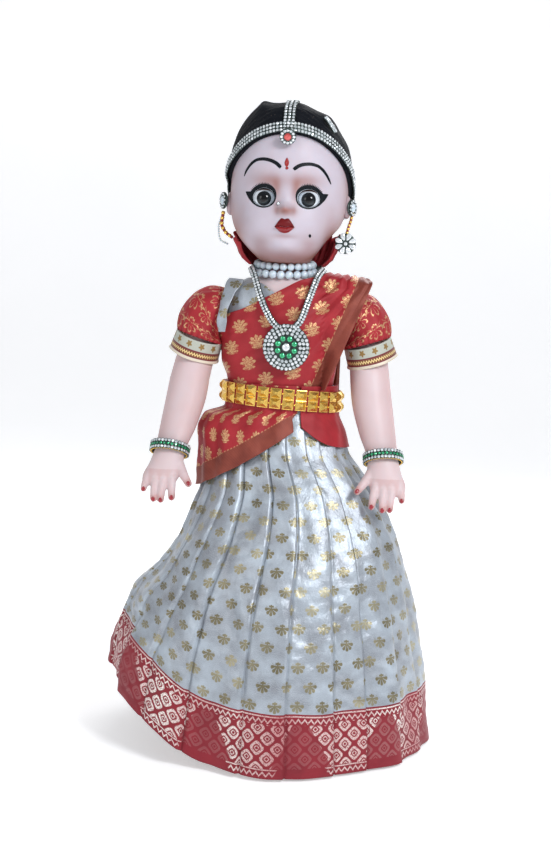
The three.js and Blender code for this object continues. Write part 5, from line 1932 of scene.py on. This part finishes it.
def add_sleeves():
    """Puffed sleeves, gathered at both ends, with a woven band at the cuff."""
    table = np.array(SLEEVE, float)
    knots = lengths_along(table[:, :3])
    rows, columns = 70, 180
    rings = smooth_columns(knots, table, np.linspace(0, knots[-1], rows))
    angle = np.linspace(0, TAU, columns + 1)
    tilt = np.radians(rings[:, 3])[:, None]
    run = np.linspace(0, 1, rows)[:, None]
    gather = np.maximum(ease(0.35 - run, 0, 0.35), ease(run, 0.6, 1.0))
    fold = np.abs(np.sin(angle[None] * 12 + 0.8 * np.sin(run * 4))) - 0.5
    crease = ripple(angle[None] * 27, run * 45, 15, 8, 1.2)
    radius = rings[:, 4:5] + fold * gather * 1.5 + crease * 0.9 * np.sin(np.pi * run)
    radius = radius + 1.2 * np.sin(np.pi * run)
    level = radius * np.cos(angle)[None]
    points = np.stack([
        rings[:, 0:1] + level * np.sin(tilt),
        rings[:, 1:2] + radius * np.sin(angle)[None],
        rings[:, 2:3] + level * np.cos(tilt),
    ], axis=-1)
    across, down = cloth_lengths(points)
    cloth = on_cloth(across[None], down[:, None])
    start, end = np.array([80.0, -8.5, 386.2]), np.array([85.6, -4.5, 367.6])
    axis = unit(end - start)
    side_axis = unit(np.cross(axis, [0, 1.0, 0]))
    other = np.cross(axis, side_axis)
    share = np.linspace(0, 1, 24)[:, None]
    flare = 22.9 + 1.3 * share + 0.8 * np.exp(-(((share - 1) / 0.06) ** 2))
    flare = flare + 0.35 * np.sin(angle[None] * 5 + 1) * share
    band = start + axis * (share * 19.3)[..., None] + flare[..., None] * (
        np.cos(angle)[None, :, None] * side_axis + np.sin(angle)[None, :, None] * other
    )
    band_cloth = on_cloth((angle * 24)[None], share * 17.4, 0.0)
    for name, side in (("right", -1), ("left", 1)):
        body = f"arm_{name}"
        faces = grid_faces(rows, columns + 1, flip=True)
        flat, faces = mirrored(points.reshape(-1, 3), faces, side)
        sleeve = f"sleeve_{name}"
        piece = put(sleeve, flat, faces, "sleeve_silk", body, [sleeve], cloth=cloth, thick=0.5)
        flat, faces = mirrored(band.reshape(-1, 3), grid_faces(24, columns + 1), side)
        sleeve_band = f"sleeve_band_{name}"
        piece = put(sleeve_band, flat, faces, "trim", body, [sleeve_band], cloth=band_cloth, thick=0.7)


def add_nape_cloth():
    """Red cloth gathered round the nape, seen on both sides of the jaw."""
    angle = np.linspace(math.radians(-20), math.radians(200), 360)
    run = np.linspace(0, 1, 50)[:, None]
    end = np.minimum(angle - angle[0], angle[-1] - angle)[None]
    height = 455.5 + (20 + 10 * ease(end, 0, 0.5)) * run
    radius = np.interp(height, [455.5, 462, 474, 485.5], [35.5, 42.5, 48.0, 51.0])
    fold = (np.abs(np.sin(angle[None] * 21 + 0.8 * np.sin(angle[None] * 5))) - 0.5) * (1.6 + 2.0 * run)
    radius = radius + fold + ripple(angle[None] * 40, height, 9, 7) * 0.9
    top = height + ripple(angle[None] * 45, 0 * run, 8, 6) * 2.2 * run
    points = np.stack([radius * np.cos(angle)[None], radius * np.sin(angle)[None], top], axis=-1)
    across, down = cloth_lengths(points)
    cloth = on_cloth(across[None], down[:, None])
    piece = put("nape_cloth", points, grid_faces(50, 360), "plain_silk", "head",
                cloth=cloth, stands_for=["nape_cloth"], thick=0.6)


def add_floor():
    """A pale floor that curves up into a backdrop."""
    bend = np.linspace(0, TAU / 4, 16)
    profile = [(-6.0, -0.0005), *zip(2.0 + np.sin(bend), 0.9995 - np.cos(bend)), (3.0, 6.0)]
    points = [(x, y, z) for y, z in profile for x in (-6, 6)]
    mesh = bpy.data.meshes.new("floor")
    mesh.from_pydata(points, [], grid_faces(len(profile), 2, flip=True))
    mesh.shade_smooth()
    look = Look("floor", Roughness=0.85, Emission_Color=(1, 1, 1, 1), Emission_Strength=0.40)
    x, y, z = look.place()
    look.drive("Base Color", look.mix(look.noise((x, y, z), 300), (0.86, 0.87, 0.88), (0.92, 0.92, 0.93)))
    mesh.materials.append(look.material)
    floor = bpy.data.objects.new("floor", mesh)
    bpy.context.scene.collection.objects.link(floor)


def dress_eye_parts():
    """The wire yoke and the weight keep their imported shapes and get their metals."""
    for node, look in (("eye_yoke", "wire"), ("eye_weight", "lead")):
        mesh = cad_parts[node].data
        mesh.materials.clear()
        mesh.materials.append(LOOKS[look])


add_camera()
add_studio()
add_floor()
add_head()
add_ears()
add_eye_paint()
add_brows_and_marks()
add_lips()
add_eyes()
add_hair()
add_head_jewellery()
add_ear_jewellery()
add_arms()
add_torso_and_legs()
add_pearls()
add_necklace()
add_belt()
add_bangles()
add_skirt()
add_hip_panel()
add_blouse_flap()
add_blouse()
add_armhole_strip()
add_drape()
add_sleeves()
add_nape_cloth()
dress_eye_parts()
